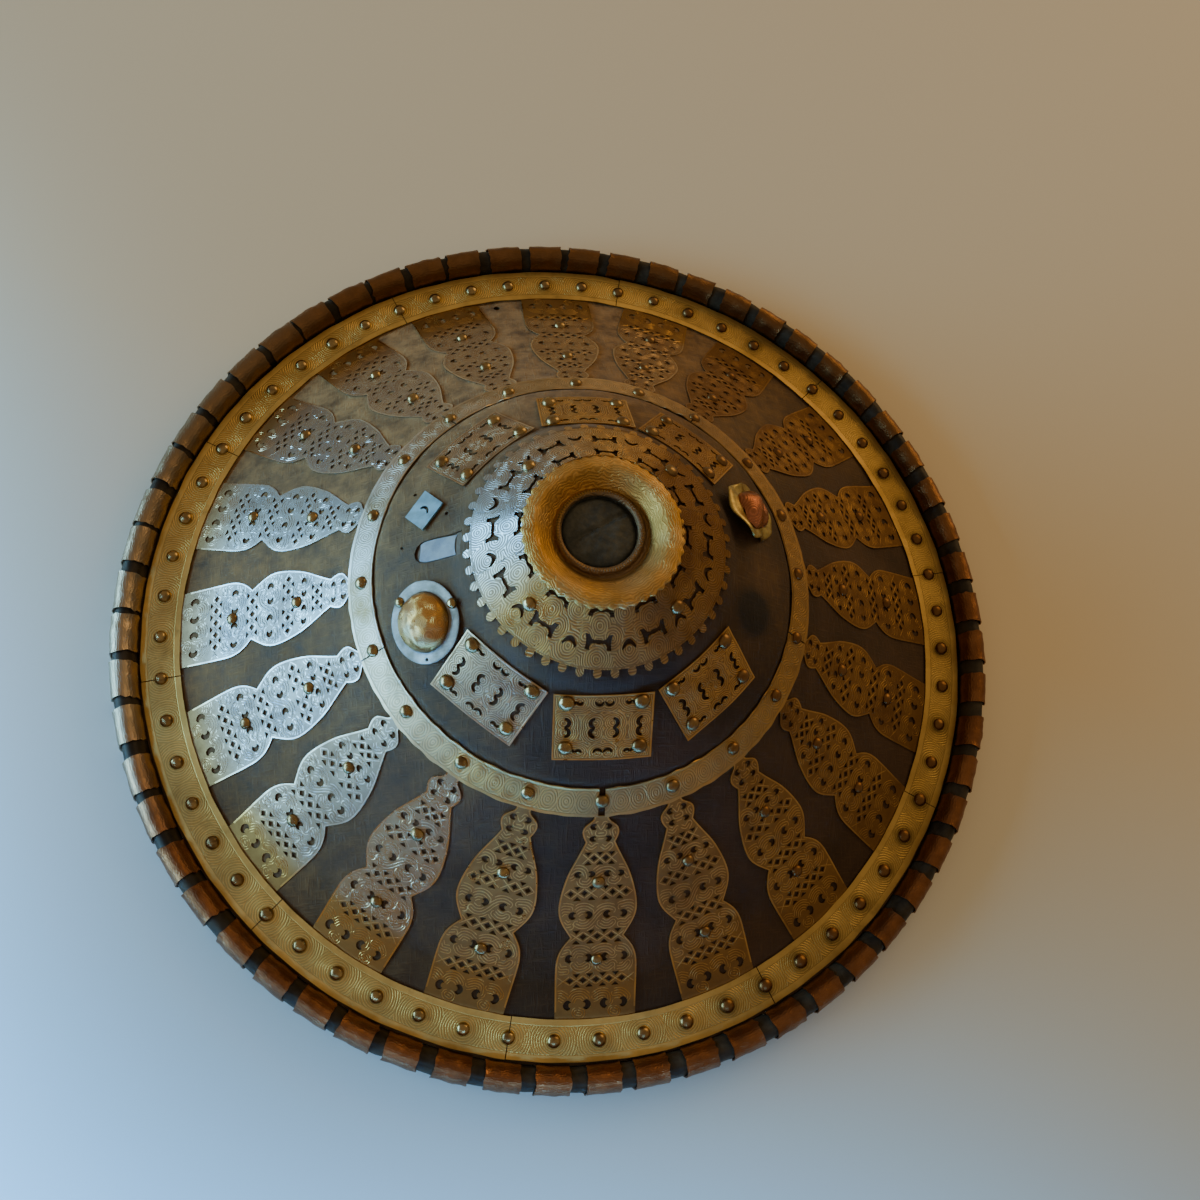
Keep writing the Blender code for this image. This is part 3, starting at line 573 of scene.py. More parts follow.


# Small parts have painted shade, darker and redder on the shield's right, away from the window; the clips have
# a painted highlight, paler on its left, and painted shade on the far side
def clipFinish():
    made = finishMaker("clipCopper", metallic=1.0)
    blotch = made.mottle(90, 6, 0.65, 0.38, 0.66, (0.37, 0.175, 0.08), (0.17, 0.072, 0.032))
    farther = made.axis(1)
    streak = made.node('ShaderNodeTexWave', [("Vector", made.here), ("Scale", 260.0), ("Distortion", 9.0),
                                             ("Detail", 3.0), ("Detail Scale", 1.6)], 1,
                       wave_type='RINGS', rings_direction='Z')
    made.paint(streak*0.28, (0.20, 0.085, 0.05))
    # Painted shade: the clips are darker and redder on the shield's right
    made.paint(made.rightShadeShare()*0.6, (0.17, 0.075, 0.032))
    # Painted highlight: the clips are paler at the lower left, where the window light glances off them
    made.paint(made.axis(0).between(-0.12, -0.21, 0.0, 0.6)*farther.between(-0.11, -0.04), (0.52, 0.49, 0.38))
    # Painted shade: the clips are darker on the far side of the shield
    made.paint(farther.between(0.0, 0.11, 0.0, 0.55), (0.155, 0.095, 0.04))
    made.dent(blotch, 0.0004, 0.5)
    made.dent(streak, 0.00010, 0.7)
    return made.done(blotch*0.35 + 0.20)


def rivetFinish():
    made = finishMaker("rivetBronze", metallic=1.0)
    blotch = made.mottle(240, 5, 0.6, 0.35, 0.68, (0.45, 0.345, 0.17), (0.18, 0.12, 0.06))
    # Painted shade: rivets are darker and redder on the shield's right, away from the window
    right = made.rightShadeShare()
    made.paint(right, (0.15, 0.062, 0.022))
    made.dent(blotch, 0.00012, 0.6)
    return made.done(blotch*0.2 + 0.17 + right*0.14)


facingLook = {"dark": (0.026, 0.0145, 0.009), "worn": (0.066, 0.038, 0.024), "dust": (0.39, 0.245, 0.11),
              "stain": (0.010, 0.011, 0.014), "thread": 900.0, "length": 110.0}


def facingFinish():
    look = facingLook
    made = finishMaker("wornFacing", **{"Sheen Weight": 0.05, "Sheen Roughness": 0.45,
                                        "Specular IOR Level": 0.24})
    warp, weft = (made.grain(1.0, 2, where=made.mapped(scale=(*scale, 60)))
                  for scale in ((look["thread"], look["length"]), (look["length"], look["thread"])))
    rub = warp.maths('MAXIMUM', weft).between(0.50, 0.72)
    patchy, dust = made.grain(85, 5, 0.7), made.value("dust")
    made.mottle(14, 6, 0.62, 0.40, 0.68, look["dark"], look["worn"])
    # Light colour from the dust share: partly dust, partly painted light
    made.paint(dust*patchy.between(0.30, 0.64, 0.18, 1.0), look["dust"])
    made.paint(rub*patchy.between(0.35, 0.6, 0.06, 0.42)*dust.between(0.0, 1.0, 0.12, 1.0), look["dust"])
    made.paint(made.value("stain"), look["stain"])
    made.dent(patchy, 0.0007, 0.5)
    made.dent(rub, 0.00016, 0.8)
    return made.done(patchy.between(0.3, 0.7, 0.52, 0.85))


def hideFinish():
    made = finishMaker("oldHide", **{"Specular IOR Level": 0.45})
    blotch = made.mottle(22, 7, 0.6, 0.35, 0.70, (0.070, 0.042, 0.026), (0.20, 0.125, 0.070))
    pores = made.node('ShaderNodeTexVoronoi', [("Vector", made.here), ("Scale", 620.0)])
    tip = made.mix(made.grain(120, 6, 0.7).between(0.36, 0.68), (0.024, 0.031, 0.032), (0.085, 0.090, 0.080))
    made.paint(made.value("tip"), tip)
    made.dent(blotch, 0.0012, 0.5)
    made.dent(pores, 0.00025, 0.6)
    return made.done(blotch.between(0.3, 0.7, 0.40, 0.68))


def rollFinish():
    made = finishMaker("darkRoll", **{"Specular IOR Level": 0.25})
    blotch = made.mottle(110, 6, 0.65, 0.38, 0.66, (0.018, 0.015, 0.012), (0.052, 0.042, 0.029))
    made.dent(blotch, 0.0006, 0.6)
    return made.done(blotch.between(0.3, 0.7, 0.38, 0.62))


def plainMetal(name, bright, dark, low, high, scale=120.0):
    made = finishMaker(name, metallic=1.0)
    blotch = made.mottle(scale, 6, 0.6, 0.36, 0.68, bright, dark)
    lined = made.grain(1.0, 3, 0.6, made.mapped(scale=(90, 1400, 400), rotation=(0.2, 0.1, 0.7)))
    made.dent(blotch, 0.0003, 0.5)
    made.dent(lined, 0.00004, 0.6)
    return made.done(((blotch + lined)*0.5).between(0.3, 0.7, low, high))


def softFinish(name, first, second, scale, roughness, grain):
    made = finishMaker(name)
    fine = made.grain(scale*9, 3, 0.6)
    made.mottle(scale, 6, 0.65, 0.36, 0.66, first, second)
    made.dent(fine, grain, 0.7)
    return made.done(fine.between(0.3, 0.7, roughness - 0.1, roughness + 0.1))


finishes = {
    "strap": engravedFinish("strapSheet", relief=True),
    "plate": engravedFinish("plateSheet"),
    "boss": engravedFinish("bossSheet"),
    "outerBand": bandFinish("brassBand", (0.84, 0.60, 0.20), (0.46, 0.31, 0.10), 22.48, 6.6),
    "midBand": bandFinish("paleBand", (0.66, 0.72, 0.74), (0.38, 0.27, 0.13), 9.4, 4.6, gilded=True),
    "clip": clipFinish(),
    "rivet": rivetFinish(),
    "facing": facingFinish(),
    "hide": hideFinish(),
    "roll": rollFinish(),
    "silver": plainMetal("scratchedSilver", (0.30, 0.29, 0.28), (0.19, 0.165, 0.14), 0.42, 0.68),
    "thong": softFinish("paleThong", (0.23, 0.27, 0.32), (0.37, 0.42, 0.46), 90.0, 0.7, 0.0002),
    "grip": softFinish("gripLeather", (0.10, 0.052, 0.028), (0.19, 0.105, 0.055), 40.0, 0.5, 0.0003),
}
print("shield: finishes made")

# Hide body: one closed shell with its dark tip and a small worn hole near the brim
body = {"steps": 220, "tipRadius": 0.0169, "tipRise": 0.0026, "craterFloor": 0.1399, "floorRadius": 0.0222,
        "creaseDepth": 0.0016, "creaseWidth": 0.0014, "creaseAzimuth": 118.0, "eyeletRadius": 0.0020,
        "eyeletFrom": 0.1985, "eyeletAzimuth": -171.2}


def hideSection():
    floor, rise, wall = body["craterFloor"], body["tipRise"], hide["thickness"]
    outer = [(0.00001, floor + rise)]
    outer += [(body["tipRadius"]*s, floor - 0.0006 + (rise + 0.0006)*sqrt(max(1 - s*s, 0)))
              for s in np.linspace(0.0, 1.0, 17)[1:]]
    outer += [(body["floorRadius"], floor)]
    step = 12
    outer += [(r, z) for r, z in zip(lineR[::step], lineZ[::step])
              if hide["craterRadius"] < r < hide["rimRadius"]]
    outer += [(hide["rimRadius"], hide["rimHeight"])]
    inner = [(0.00001, floor + rise - wall), (body["floorRadius"], floor - wall)]
    for r, z, nr, nz in zip(*(values[::step*2] for values in (lineR, lineZ, normalR, normalZ))):
        low = (r - nr*wall, z - nz*wall)
        if hide["craterRadius"] < r and low[1] > 0.001 and low[0] < hide["brimRadius"] - 0.0045:
            inner.append(low)
    foot = [(hide["brimRadius"] - 0.0040, 0.0), (hide["rimRadius"], 0.0)]
    return outer + foot[::-1] + inner[::-1]


def hideBody():
    section = np.array(hideSection())
    turn = turns(body["steps"])
    r = section[:, 0, None]
    x, y, z = np.moveaxis(polar(r, turn, section[:, 1, None]), -1, 0)
    lean = radians(body["creaseAzimuth"])
    aside = x*cos(lean) + y*sin(lean) - 0.002
    within = np.clip(1 - (np.hypot(x, y)/body["tipRadius"])**4, 0, 1)*(z > body["craterFloor"] - 0.002)
    z = z - within*body["creaseDepth"]*np.exp(-(aside/body["creaseWidth"])**2)
    z = z + within*0.00022*gentleWaves(x, y, 0.006, 5)
    inside = (np.arange(len(section)) > np.argmin(section[:, 1]))[:, None]
    z = np.where(inside & (z > 0.004), z + 0.0006*gentleWaves(x, y, 0.05, 8), z)
    points = shiftedTip(stack(x, y, z), r)
    mesh = meshOf("hideBody", points.reshape(-1, 3), patch(closed(numbered(*points.shape[:2]))))
    lean = radians(body["eyeletAzimuth"])
    ring = circle(body["eyeletFrom"]*sin(lean), -body["eyeletFrom"]*cos(lean), body["eyeletRadius"], 14)
    mesh = carve(addObject("hideHolder", mesh), ('DIFFERENCE', prisms("eyeletTool", [ring], -0.01, 0.05)))
    x, y, z = coordinates(mesh).T
    setValues(mesh, tip=(np.hypot(x, y) < 0.0255) & (z > body["craterFloor"] - 0.003))
    return settle(addObject("hideBody", mesh, finishes["hide"]), "hide", "hide_shell")


hideBody()
print("shield: hide body")

# Cloth facing glued over the hide, with the torn slot, small holes and the print of the lost stud
facing = {
    "steps": 400, "low": 0.0003, "high": 0.0011, "inner": 0.0365, "rowStep": 10,
    "slot": {"azimuth": -95.0, "from": 0.0620, "to": 0.0830, "halfWidth": 0.0060},
    # Share of light colour on the facing round the shield: partly dust, partly painted light on the back and
    # the left
    "dustRound": ((0, 0.02), (60, 0.01), (110, 0.05), (135, 0.32), (155, 0.68), (180, 0.80), (200, 0.92),
                  (225, 0.88), (250, 0.62), (270, 0.48), (290, 0.38), (320, 0.20), (340, 0.10), (360, 0.02)),
    "pinholes": ((0.0712, -109.1, 0.0010), (0.0891, -98.0, 0.0008), (0.0900, -61.7, 0.0010),
                 (0.0905, -116.0, 0.0009)),
    "printAzimuth": 70, "printRadius": 0.0795,
}


def clothFacing():
    keep = (lineR >= facing["inner"]) & (lineR <= hide["rimRadius"])
    r = lineR[keep][::facing["rowStep"], None]
    turn = turns(facing["steps"])
    puff = 0.00012*gentleWaves(r*np.sin(turn), r*np.cos(turn), 0.022, 11)
    top, bottom = onHide(r, turn, facing["high"] + puff), onHide(r, turn, facing["low"])
    holder = addObject("facingHolder", slabMesh("facingHolder", top, bottom, around=True))
    slot = facing["slot"]
    start, end, middle = slot["from"], slot["to"], 0.5*(slot["from"] + slot["to"])
    lean = radians(slot["azimuth"])
    out, side = np.array((sin(lean), -cos(lean))), np.array((cos(lean), sin(lean)))
    ragged = ((start, -0.92), (start - 0.0003, -0.3), (start + 0.0004, 0.35), (start, 1.0), (middle, 1.03),
              (end - 0.0030, 0.86), (end - 0.0006, 0.45), (end, 0.0), (end - 0.0009, -0.52),
              (end - 0.0034, -0.88), (middle, -0.98))
    holes = [[tuple(out*x + side*y*slot["halfWidth"]) for x, y in ragged]]
    eyelet = [body["eyelet" + key] for key in ("From", "Azimuth", "Radius")]
    for radius, azimuth, size in (*facing["pinholes"], eyelet):
        turn = radians(azimuth)
        holes.append(circle(radius*sin(turn), -radius*cos(turn), size, 10))
    mesh = carve(holder, ('DIFFERENCE', prisms("facingTool", holes, -0.01, 0.16)))
    x, y, z = coordinates(mesh).T
    reach, azimuth = np.hypot(x, y), np.degrees(np.arctan2(x, -y))
    dust = readOff(facing["dustRound"], azimuth % 360)*np.clip(0.45 + (reach - 0.06)/0.10, 0.5, 1)
    dust = dust + 0.20*np.exp(-(((azimuth - 88)/28)**2 + ((reach - 0.083)/0.016)**2))
    printed = ((reach - facing["printRadius"])/0.0095)**2 + ((azimuth - facing["printAzimuth"])/7.5)**2
    setValues(mesh, dust=np.clip(dust + 0.10*gentleWaves(x, y, 0.09, 21)*np.sqrt(dust), 0, 1),
              stain=np.clip(1.6*np.exp(-printed**2), 0, 0.9))
    return settle(addObject("clothFacing", mesh, finishes["facing"]), "cloth", "cloth_facing")


facingPiece = clothFacing()
print("shield: facing")

# Rolled edge: a dark roll with sixty copper clips folded over it
rim = {
    "clips": 60, "clipShare": 0.66, "clipThickness": 0.0006, "clipRows": 17, "clipColumns": 9, "variants": 5,
    "widerRound": ((0, 1.06), (140, 1.04), (175, 1.16), (210, 1.28), (270, 1.22), (310, 1.10), (360, 1.06)),
    "roll": ((0.2266, 0.0005), (0.2266, 0.0060), (0.2276, 0.0112), (0.2301, 0.0150), (0.2330, 0.0163),
             (0.2360, 0.0150), (0.2380, 0.0112), (0.2383, 0.0066), (0.2374, 0.0022), (0.2360, 0.0005)),
    "farthest": 0.23984, "lowest": 0.0004, "highest": 0.01795,
}


def roundedRun(points, count):
    points = np.array(points).T
    run = runAlong(points)
    where = np.linspace(0, run[-1], count)
    return stack(*(throughPoints(list(zip(run, values)), where) for values in points))


def rimRoll():
    def wobble(r, z, turn):
        waves = gentleWaves(r*np.sin(turn), r*np.cos(turn), 0.012, 31)
        dent = abs(0.0003*waves*np.clip(z/0.004, 0, 1))
        return r - dent, z - dent

    mesh = ringMesh("rimRoll", roundedRun(rim["roll"], 26)[::-1], 480, wobble)
    return settle(addObject("rimRoll", mesh, finishes["roll"]), "hide", "rim_edging")


def clipMesh(seed):
    draw = np.random.default_rng(seed)
    line = roundedRun(rim["roll"][1:-1], rim["clipRows"])
    along = np.gradient(line, axis=0)
    out = stack(-along[:, 1], along[:, 0])/np.hypot(*along.T)[:, None]
    half = radians(180/rim["clips"]*rim["clipShare"])
    column = np.linspace(-1, 1, rim["clipColumns"])
    ragged = 1 + 0.035*draw.normal(size=(rim["clipRows"], 2))
    row = np.linspace(-1, 1, rim["clipRows"])[:, None]
    turn = np.where(column < 0, ragged[:, :1], ragged[:, 1:])*half*column + draw.normal()*0.0035*row
    buckle = 0.00020*gentleWaves(row*6, column*3, 4.0, seed + 50)
    crease = 0.00022*np.exp(-((column - draw.normal()*0.15)/0.16)**2)
    curl = 0.00025*np.clip(np.abs(column) - 0.75, 0, 1)*4*draw.uniform(0.2, 1.2)
    lift = 0.00042 + np.clip(buckle + crease, -0.00022, 0.00045) + curl
    grids = []
    for level in (lift + rim["clipThickness"], lift):
        r = np.minimum(line[:, 0, None] + out[:, 0, None]*level, rim["farthest"])
        z = np.clip(line[:, 1, None] + out[:, 1, None]*level, rim["lowest"], rim["highest"])
        grids.append(polar(r, turn, z))
    return slabMesh(f"clip{seed}", *grids)


def rimClips():
    sources = [addObject(f"clipSource{i}", clipMesh(i + 3), finishes["clip"]) for i in range(rim["variants"])]
    places = [((0, 0, 0), (0, 0, radians(360/rim["clips"]*i)), 1.0) for i in range(rim["clips"])]
    made = copiesOnPlaces("rimClips", places, sources, finishes["clip"], turnSpread=0.0045, seed=4, crease=40)
    x, y, z = coordinates(made.data).T
    turn, pitch = np.arctan2(x, -y), 2*pi/rim["clips"]
    middle = np.round(turn/pitch)*pitch
    wider = readOff(rim["widerRound"], np.degrees(middle) % 360)
    setCoordinates(made.data, polar(np.hypot(x, y), middle + (turn - middle)*wider, z))
    return settle(made, "copper", "rim_edging")


rimRoll()
rimClips()
print("shield: rim")

# Unevenness of sheet metal: broad waves and fine ones as (height, size), kept within limits
def uneven(x, y, seed, broad, fine, limits):
    waves = broad[0]*gentleWaves(x, y, broad[1], seed) + fine[0]*gentleWaves(x, y, fine[1], seed + 1)
    return np.clip(waves, *limits)


def flatSlab(name, x, y, thickness, z=0.0):
    return addObject(name, slabMesh(name, stack(x, y, z + thickness), stack(x, y, z)))


# Bands: engraved strips round the brim and round the crown's foot
bands = {
    "outer": {"from": 0.2045, "to": 0.2245, "low": 0.0021, "thickness": 0.0005, "rows": 21, "stepDegrees": 0.5,
              "seams": [-12 + 36*i for i in range(10)], "gap": 0.10, "firstGap": 0.10, "endGap": 0.03,
              "pitchMm": 22.48, "pitchDegrees": 6.0, "tarnish": 0.62, "toneShift": 0.0,
              "slot": "brass", "seed": 40},
    "mid": {"from": 0.1020, "to": 0.1142, "low": 0.0020, "thickness": 0.0005, "rows": 13, "stepDegrees": 0.9,
            "seams": [-1, 72, 144, 216, 288], "gap": 0.22, "firstGap": 1.5, "endGap": 0.11,
            "pitchMm": 9.4, "pitchDegrees": 4.5, "tarnish": 0.9, "toneShift": 12.0,
            "slot": "gilt_silver", "seed": 80},
}

# Tone of the sheet metal round the shield, as (azimuth, gilding, tarnish): silvery on the left, coppery on
# the right and dark at the upper right; tarnish below zero, on the left and at the back, is a painted highlight
# that lightens the metal
tones = ((-36, 0.80, -0.25), (-20, 1.0, 0.0), (0, 1.0, 0.12), (25, 1.0, 0.24), (45, 1.0, 0.38), (70, 1.0, 0.66),
         (90, 1.0, 0.80), (118, 1.0, 0.85), (144, 0.85, 0.95), (160, 0.80, 0.25), (180, 0.80, -0.20),
         (215, 0.45, -0.50), (235, 0.22, -0.30), (270, 0.0, -0.06), (290, 0.20, 0.05), (308, 0.58, 0.02))


def toneAt(azimuth):
    turn, *shares = np.array(tones).T
    return [np.interp(azimuth, turn, share, period=360) for share in shares]


def bandStrip(name, band, start, end, finish, seed):
    azimuth = np.linspace(start, end, max(2, round((end - start)/band["stepDegrees"])) + 1)
    middle = (band["from"] + band["to"])/2
    tt, rr = np.meshgrid(azimuth, np.linspace(band["from"], band["to"], band["rows"]))
    turn = np.radians(tt)
    x, y = rr*np.sin(turn), -rr*np.cos(turn)
    low = band["low"] + uneven(x, y, seed, (0.00016, 0.05), (0.00002, 0.012), (-0.0004, 0.0005))
    atEdge = np.abs(rr - middle)/(band["to"] - band["from"])*2 > 0.98
    wavy = rr + atEdge*0.00022*gentleWaves(tt, 0*rr, 5.0, seed + 2)
    mesh = slabMesh(name, onSheet(wavy, turn, low + band["thickness"]), onSheet(wavy, turn, low))
    tt, rr = np.tile(tt.ravel(), 2), np.tile(rr.ravel(), 2)
    gilding, tarnish = toneAt(tt + band["toneShift"]*np.clip((tt % 360 - 255)/20, 0, 1))
    setValues(mesh, along=tt/band["pitchDegrees"]*band["pitchMm"], across=(rr - middle)/mm,
              gilding=gilding, tarnish=tarnish*band["tarnish"])
    return addObject(name, mesh, finish)


def bandStrips(kind):
    band = bands[kind]
    ends = band["seams"][1:] + [band["seams"][0] + 360]
    for i, (start, end) in enumerate(zip(band["seams"], ends)):
        start = start + (band["gap"] if i else band["firstGap"])
        strip = bandStrip(f"{kind}BandStrip_{i + 1:02d}", band, start, end - band["endGap"],
                          finishes[kind + "Band"], band["seed"] + 3*i)
        settle(strip, band["slot"], f"{kind}_band_{i + 1:02d}")


bandStrips("outer")
bandStrips("mid")
print("shield: bands")

# Twenty openwork straps. Sizes in millimetres: radius from the axis, then half width or place across.
strap = {
    "azimuths": (-0.3, 17.9, 36.6, 55.0, 72.0, 90.0, 107.2, 124.6, 144.0, 161.0,
                 178.6, 197.6, 215.5, 232.9, 250.6, 269.2, 287.2, 304.9, 323.4, 341.3),
    "shifts": (1.0, 0.6, 0.6, 0.5, 0.5, 0.3, 0.1, -0.5, -1.2, -1.6,
               -1.8, -2.5, -1.5, -1.3, 0.0, -0.5, 0.0, 0.9, 1.5, 1.2),
    "low": 0.00128, "thickness": 0.00058, "columns": 40, "rowStep": 1.0, "holeSize": 1.07,
    "loops": (1.25, 2.45), "ridgeWidth": 0.66, "ridgeRise": 0.10, "margin": 0.9,
    "bodyFrom": 124.0, "footFrom": 165.6,
    "knob": ((112.9, 3.4), (114.6, 3.7), (115.9, 5.6), (117.4, 7.8), (119.3, 8.7), (121.8, 8.2), (124.0, 7.0)),
    "body": ((124.0, 7.0), (127.4, 8.9), (130.8, 11.0), (137.0, 14.7), (143.3, 17.2), (149.5, 18.8),
             (152.6, 19.1), (155.8, 18.7), (159.5, 17.1), (162.4, 15.2), (165.6, 13.0)),
    "foot": ((165.6, 13.0), (168.0, 15.5), (171.2, 18.0), (174.5, 19.4), (177.5, 20.0), (182.0, 20.2),
             (194.0, 20.2), (206.0, 20.2)),
}
# Kind, radius, places across, width and height of the pierced figures
strapHoles = (
    ("left", 117.5, (-3.4,), 2.9, 2.5), ("right", 117.5, (3.4,), 2.9, 2.5),
    ("left", 122.6, (-3.5,), 3.0, 2.3), ("right", 122.6, (3.5,), 3.0, 2.3),
    ("down", 129.0, (-5.6, 0, 5.6), 3.2, 1.4), ("diamond", 130.9, (-2.8, 2.8), 3.2, 2.4),
    ("up", 132.9, (-5.6, 0, 5.6), 3.2, 1.4),
    ("left", 137.7, (-10.0, 4.2), 3.2, 2.6), ("right", 137.7, (-3.8, 10.3), 3.2, 2.6),
    ("down", 143.7, (-10.2, -3.4, 3.4, 10.2), 2.9, 1.4), ("diamond", 145.9, (-13.4, -6.8, 6.8, 13.4), 3.0, 2.5),
    ("up", 148.2, (-10.3, -3.4, 3.4, 10.3), 3.3, 1.5),
    ("left", 155.6, (-12.2, 4.6), 3.3, 3.3), ("right", 155.6, (-4.6, 12.4), 3.3, 3.3),
    ("down", 163.1, (-10.1, -3.3, 3.3, 10.1), 3.4, 1.5), ("diamond", 165.3, (-6.9, 0, 6.9), 3.4, 2.6),
    ("up", 167.6, (-10.3, -3.4, 3.4, 10.3), 3.4, 1.5),
    ("left", 175.0, (-13.5, 4.1), 3.2, 3.7), ("right", 175.0, (-4.1, 13.5), 3.2, 3.7),
    ("down", 183.0, (-9.7, -3.3, 3.3, 9.7), 3.4, 1.5),
    ("diamond", 185.3, (-12.9, -6.45, 0, 6.45, 12.9), 3.4, 2.6),
    ("up", 187.8, (-9.6, -3.3, 3.3, 9.6), 3.4, 1.5),
    ("left", 197.3, (-13.8, 4.5), 3.6, 4.8), ("right", 197.3, (-4.5, 13.8), 3.6, 4.8),
)
# Scrolls engraved between the holes: centre lines as (radius, across)
strapScrolls = (
    ((153.9, 7.3), (153.2, 5.0), (153.6, 2.0), (155.4, -0.4), (158.0, -2.6), (160.0, -5.2), (160.2, -8.2),
     (159.2, -10.4)),
    ((154.0, -10.6), (152.9, -8.8), (152.8, -5.8), (154.2, -3.2)),
    ((159.4, 1.0), (160.7, 3.6), (160.4, 6.2), (159.3, 7.6)),
    ((153.8, -19.0), (152.3, -16.8), (152.6, -13.4)), ((153.8, 18.0), (152.3, 15.8), (152.8, 11.0)),
    ((158.9, -17.2), (160.6, -15.0), (160.4, -12.8)), ((158.9, 16.4), (160.6, 14.2), (160.4, 11.0)),
    ((173.6, -11.8), (171.8, -10.4), (171.6, -7.2), (173.4, -3.8)),
    ((173.0, -1.6), (171.6, 1.4), (171.6, 5.2), (173.4, 7.8)),
    ((178.0, -11.6), (179.8, -9.8), (179.8, -6.2), (178.8, -4.4)), ((179.0, 2.0), (180.4, 5.4), (179.0, 8.0)),
    ((177.6, -20.2), (180.4, -18.6), (180.8, -14.6)), ((171.4, 10.2), (172.2, 13.2), (174.8, 15.4)),
    ((172.6, -17.0), (171.8, -14.0)), ((181.0, 10.2), (180.6, 13.8), (178.6, 15.8)),
    ((195.2, -12.8), (192.4, -11.0), (192.0, -6.8), (194.4, -4.0)),
    ((193.8, -0.6), (192.2, 2.6), (192.8, 5.6), (196.2, 6.4)),
    ((193.8, -21.0), (192.0, -18.2), (193.8, -15.0)), ((192.8, 9.2), (192.8, 12.6), (195.0, 15.2)),
    ((201.0, -9.2), (201.6, -7.6)), ((201.2, 8.8), (201.8, 10.2)),
    ((137.8, -1.8), (136.2, 1.2), (136.2, 5.6), (138.0, 7.8)),
    ((137.6, -13.6), (135.9, -10.6), (136.8, -8.0), (138.6, -7.2)),
    ((140.6, 5.6), (141.2, 7.6), (140.0, 9.4)), ((140.4, -8.2), (140.9, -6.0), (139.4, -4.4)),
    ((136.4, 9.2), (136.6, 11.6), (138.8, 13.6)),
    ((120.4, -8.0), (118.6, -6.6), (120.6, -5.4)), ((119.6, 6.6), (121.2, 7.4)),
    ((116.6, -1.8), (118.8, 0.0), (116.6, 1.8)), ((125.6, -6.8), (127.0, -4.2), (125.8, -1.8)),
    ((126.0, 0.0), (127.2, 2.4), (125.6, 4.8)), ((120.2, -1.4), (120.2, 1.4)),
)


# Distance of points from the nearest of some lines, each a row of corners
def fromLines(points, rows):
    best = np.full(len(points), 1e9)
    for row in rows:
        for a, b in zip(np.array(row), np.array(row[1:])):
            share = np.clip((points - a) @ (b - a)/((b - a) @ (b - a)), 0, 1)
            gap = points - a - share[:, None]*(b - a)
            best = np.minimum(best, np.hypot(*gap.T))
    return best


# Loop that runs round an open line at a distance
def aroundLine(line, gap):
    along = np.gradient(line, axis=0)
    heading = np.arctan2(along[:, 1], along[:, 0])
    side = stack(-np.sin(heading), np.cos(heading))*gap
    turn = np.linspace(0, pi, 6)[1:-1]

    def cap(centre, start):
        return centre + gap*stack(np.cos(start - turn), np.sin(start - turn))

    return np.concatenate((line + side, cap(line[-1], heading[-1] + pi/2), (line - side)[::-1],
                           cap(line[0], heading[0] - pi/2)))


def keptRuns(row, keep):
    runs, run = [], []
    for point, kept in [*zip(row, keep), (None, False)]:
        if kept:
            run.append(point)
        elif run:
            runs.append(run)
            run = []
    return [run for run in runs if len(run) > 2]


def clearOfHoles(points, margin):
    clear = np.ones(len(points), bool)
    x, y = points.T
    for kind, radius, across, wide, high in strapHoles:
        for place in across:
            clear &= ((x - radius)/(high/2 + margin))**2 + ((y - place)/(wide/2 + margin))**2 > 1
    return clear


# Rows of the raised lines: one down the middle of each scroll and loops round it, kept off their neighbours
def scrollRows():
    rows, bars, margin = [], latticeBars(), strap["margin"]

    def within(row):
        return strapHalfWidth(row[:, 0]) - np.abs(row[:, 1]) > margin

    for i, scroll in enumerate(strapScrolls):
        line = roundedRun(scroll, max(4, round(runAlong(np.array(scroll).T)[-1]) + 1))
        others = [other for j, other in enumerate(strapScrolls) if j != i]
        for gap in (0.0, *strap["loops"]):
            row = aroundLine(line, gap) if gap else line
            keep = clearOfHoles(row, 0.35) & within(row)
            if gap:
                keep &= (fromLines(row, others) > gap - 0.15) & (fromLines(row, [line]) > gap*0.85)
                keep &= fromLines(row, bars) > margin
            rows += keptRuns(row, keep)
    for a, b in bars:
        row = np.linspace(a, b, 7)
        rows += keptRuns(row, within(row))
    return rows


# Narrow roofs along rows of (along, across) in millimetres
def ridgeMesh(rows, base, width, rise):
    points, faces = [], []
    for row in rows:
        row = np.array(row)
        along = np.gradient(row, axis=0)
        side = stack(-along[:, 1], along[:, 0])/np.hypot(*along.T)[:, None]*width/2
        first, count = len(points), len(row)
        for i, ((x, y), (a, b)) in enumerate(zip(row, side)):
            peak = base + rise*(0.35 if i in (0, count - 1) else 1.0)
            points += [(x - a, y - b, base - 0.05), (x, y, peak), (x + a, y + b, base - 0.05)]
        for i in range(first, first + 3*(count - 1), 3):
            faces += [[i + j, i + (j + 1) % 3, i + 3 + (j + 1) % 3, i + 3 + j] for j in range(3)]
        last = first + 3*count
        faces += [[first + 2, first + 1, first], [last - 3, last - 2, last - 1]]
    return meshOf("ridges", np.array(points)*mm, faces)


# The bars of the lattices cross halfway between the diamonds
def latticeBars():
    bars, reach = [], 2.1
    for kind, radius, across, wide, high in strapHoles:
        if kind != "diamond":
            continue
        half = float(min(np.diff(across)))/2
        for middle in sorted({round(place + side*half, 2) for place in across for side in (-1, 1)}):
            for lean in (-half*0.95, half*0.95):
                bars.append(((radius - reach, middle - lean), (radius + reach, middle + lean)))
    return bars


# Outlines of the pierced figures as (along, across) about their own middle, one unit wide
def eyeOutline(side):
    notch, offset = 0.50, 0.72
    reach = acos((1 + offset**2 - notch**2)/(2*offset))
    outer = [(sin(a), cos(a), 1 + 0.22*max(0.0, -cos(a))**6) for a in np.linspace(reach, 2*pi - reach, 13)]
    horn = atan2(sin(reach), cos(reach) - offset)
    inner = [(notch*sin(a), offset + notch*cos(a), 1.0) for a in np.linspace(2*pi - horn, horn, 8)[1:-1]]
    return [(0.5*x*k, -0.5*side*y*k) for x, y, k in outer + inner]


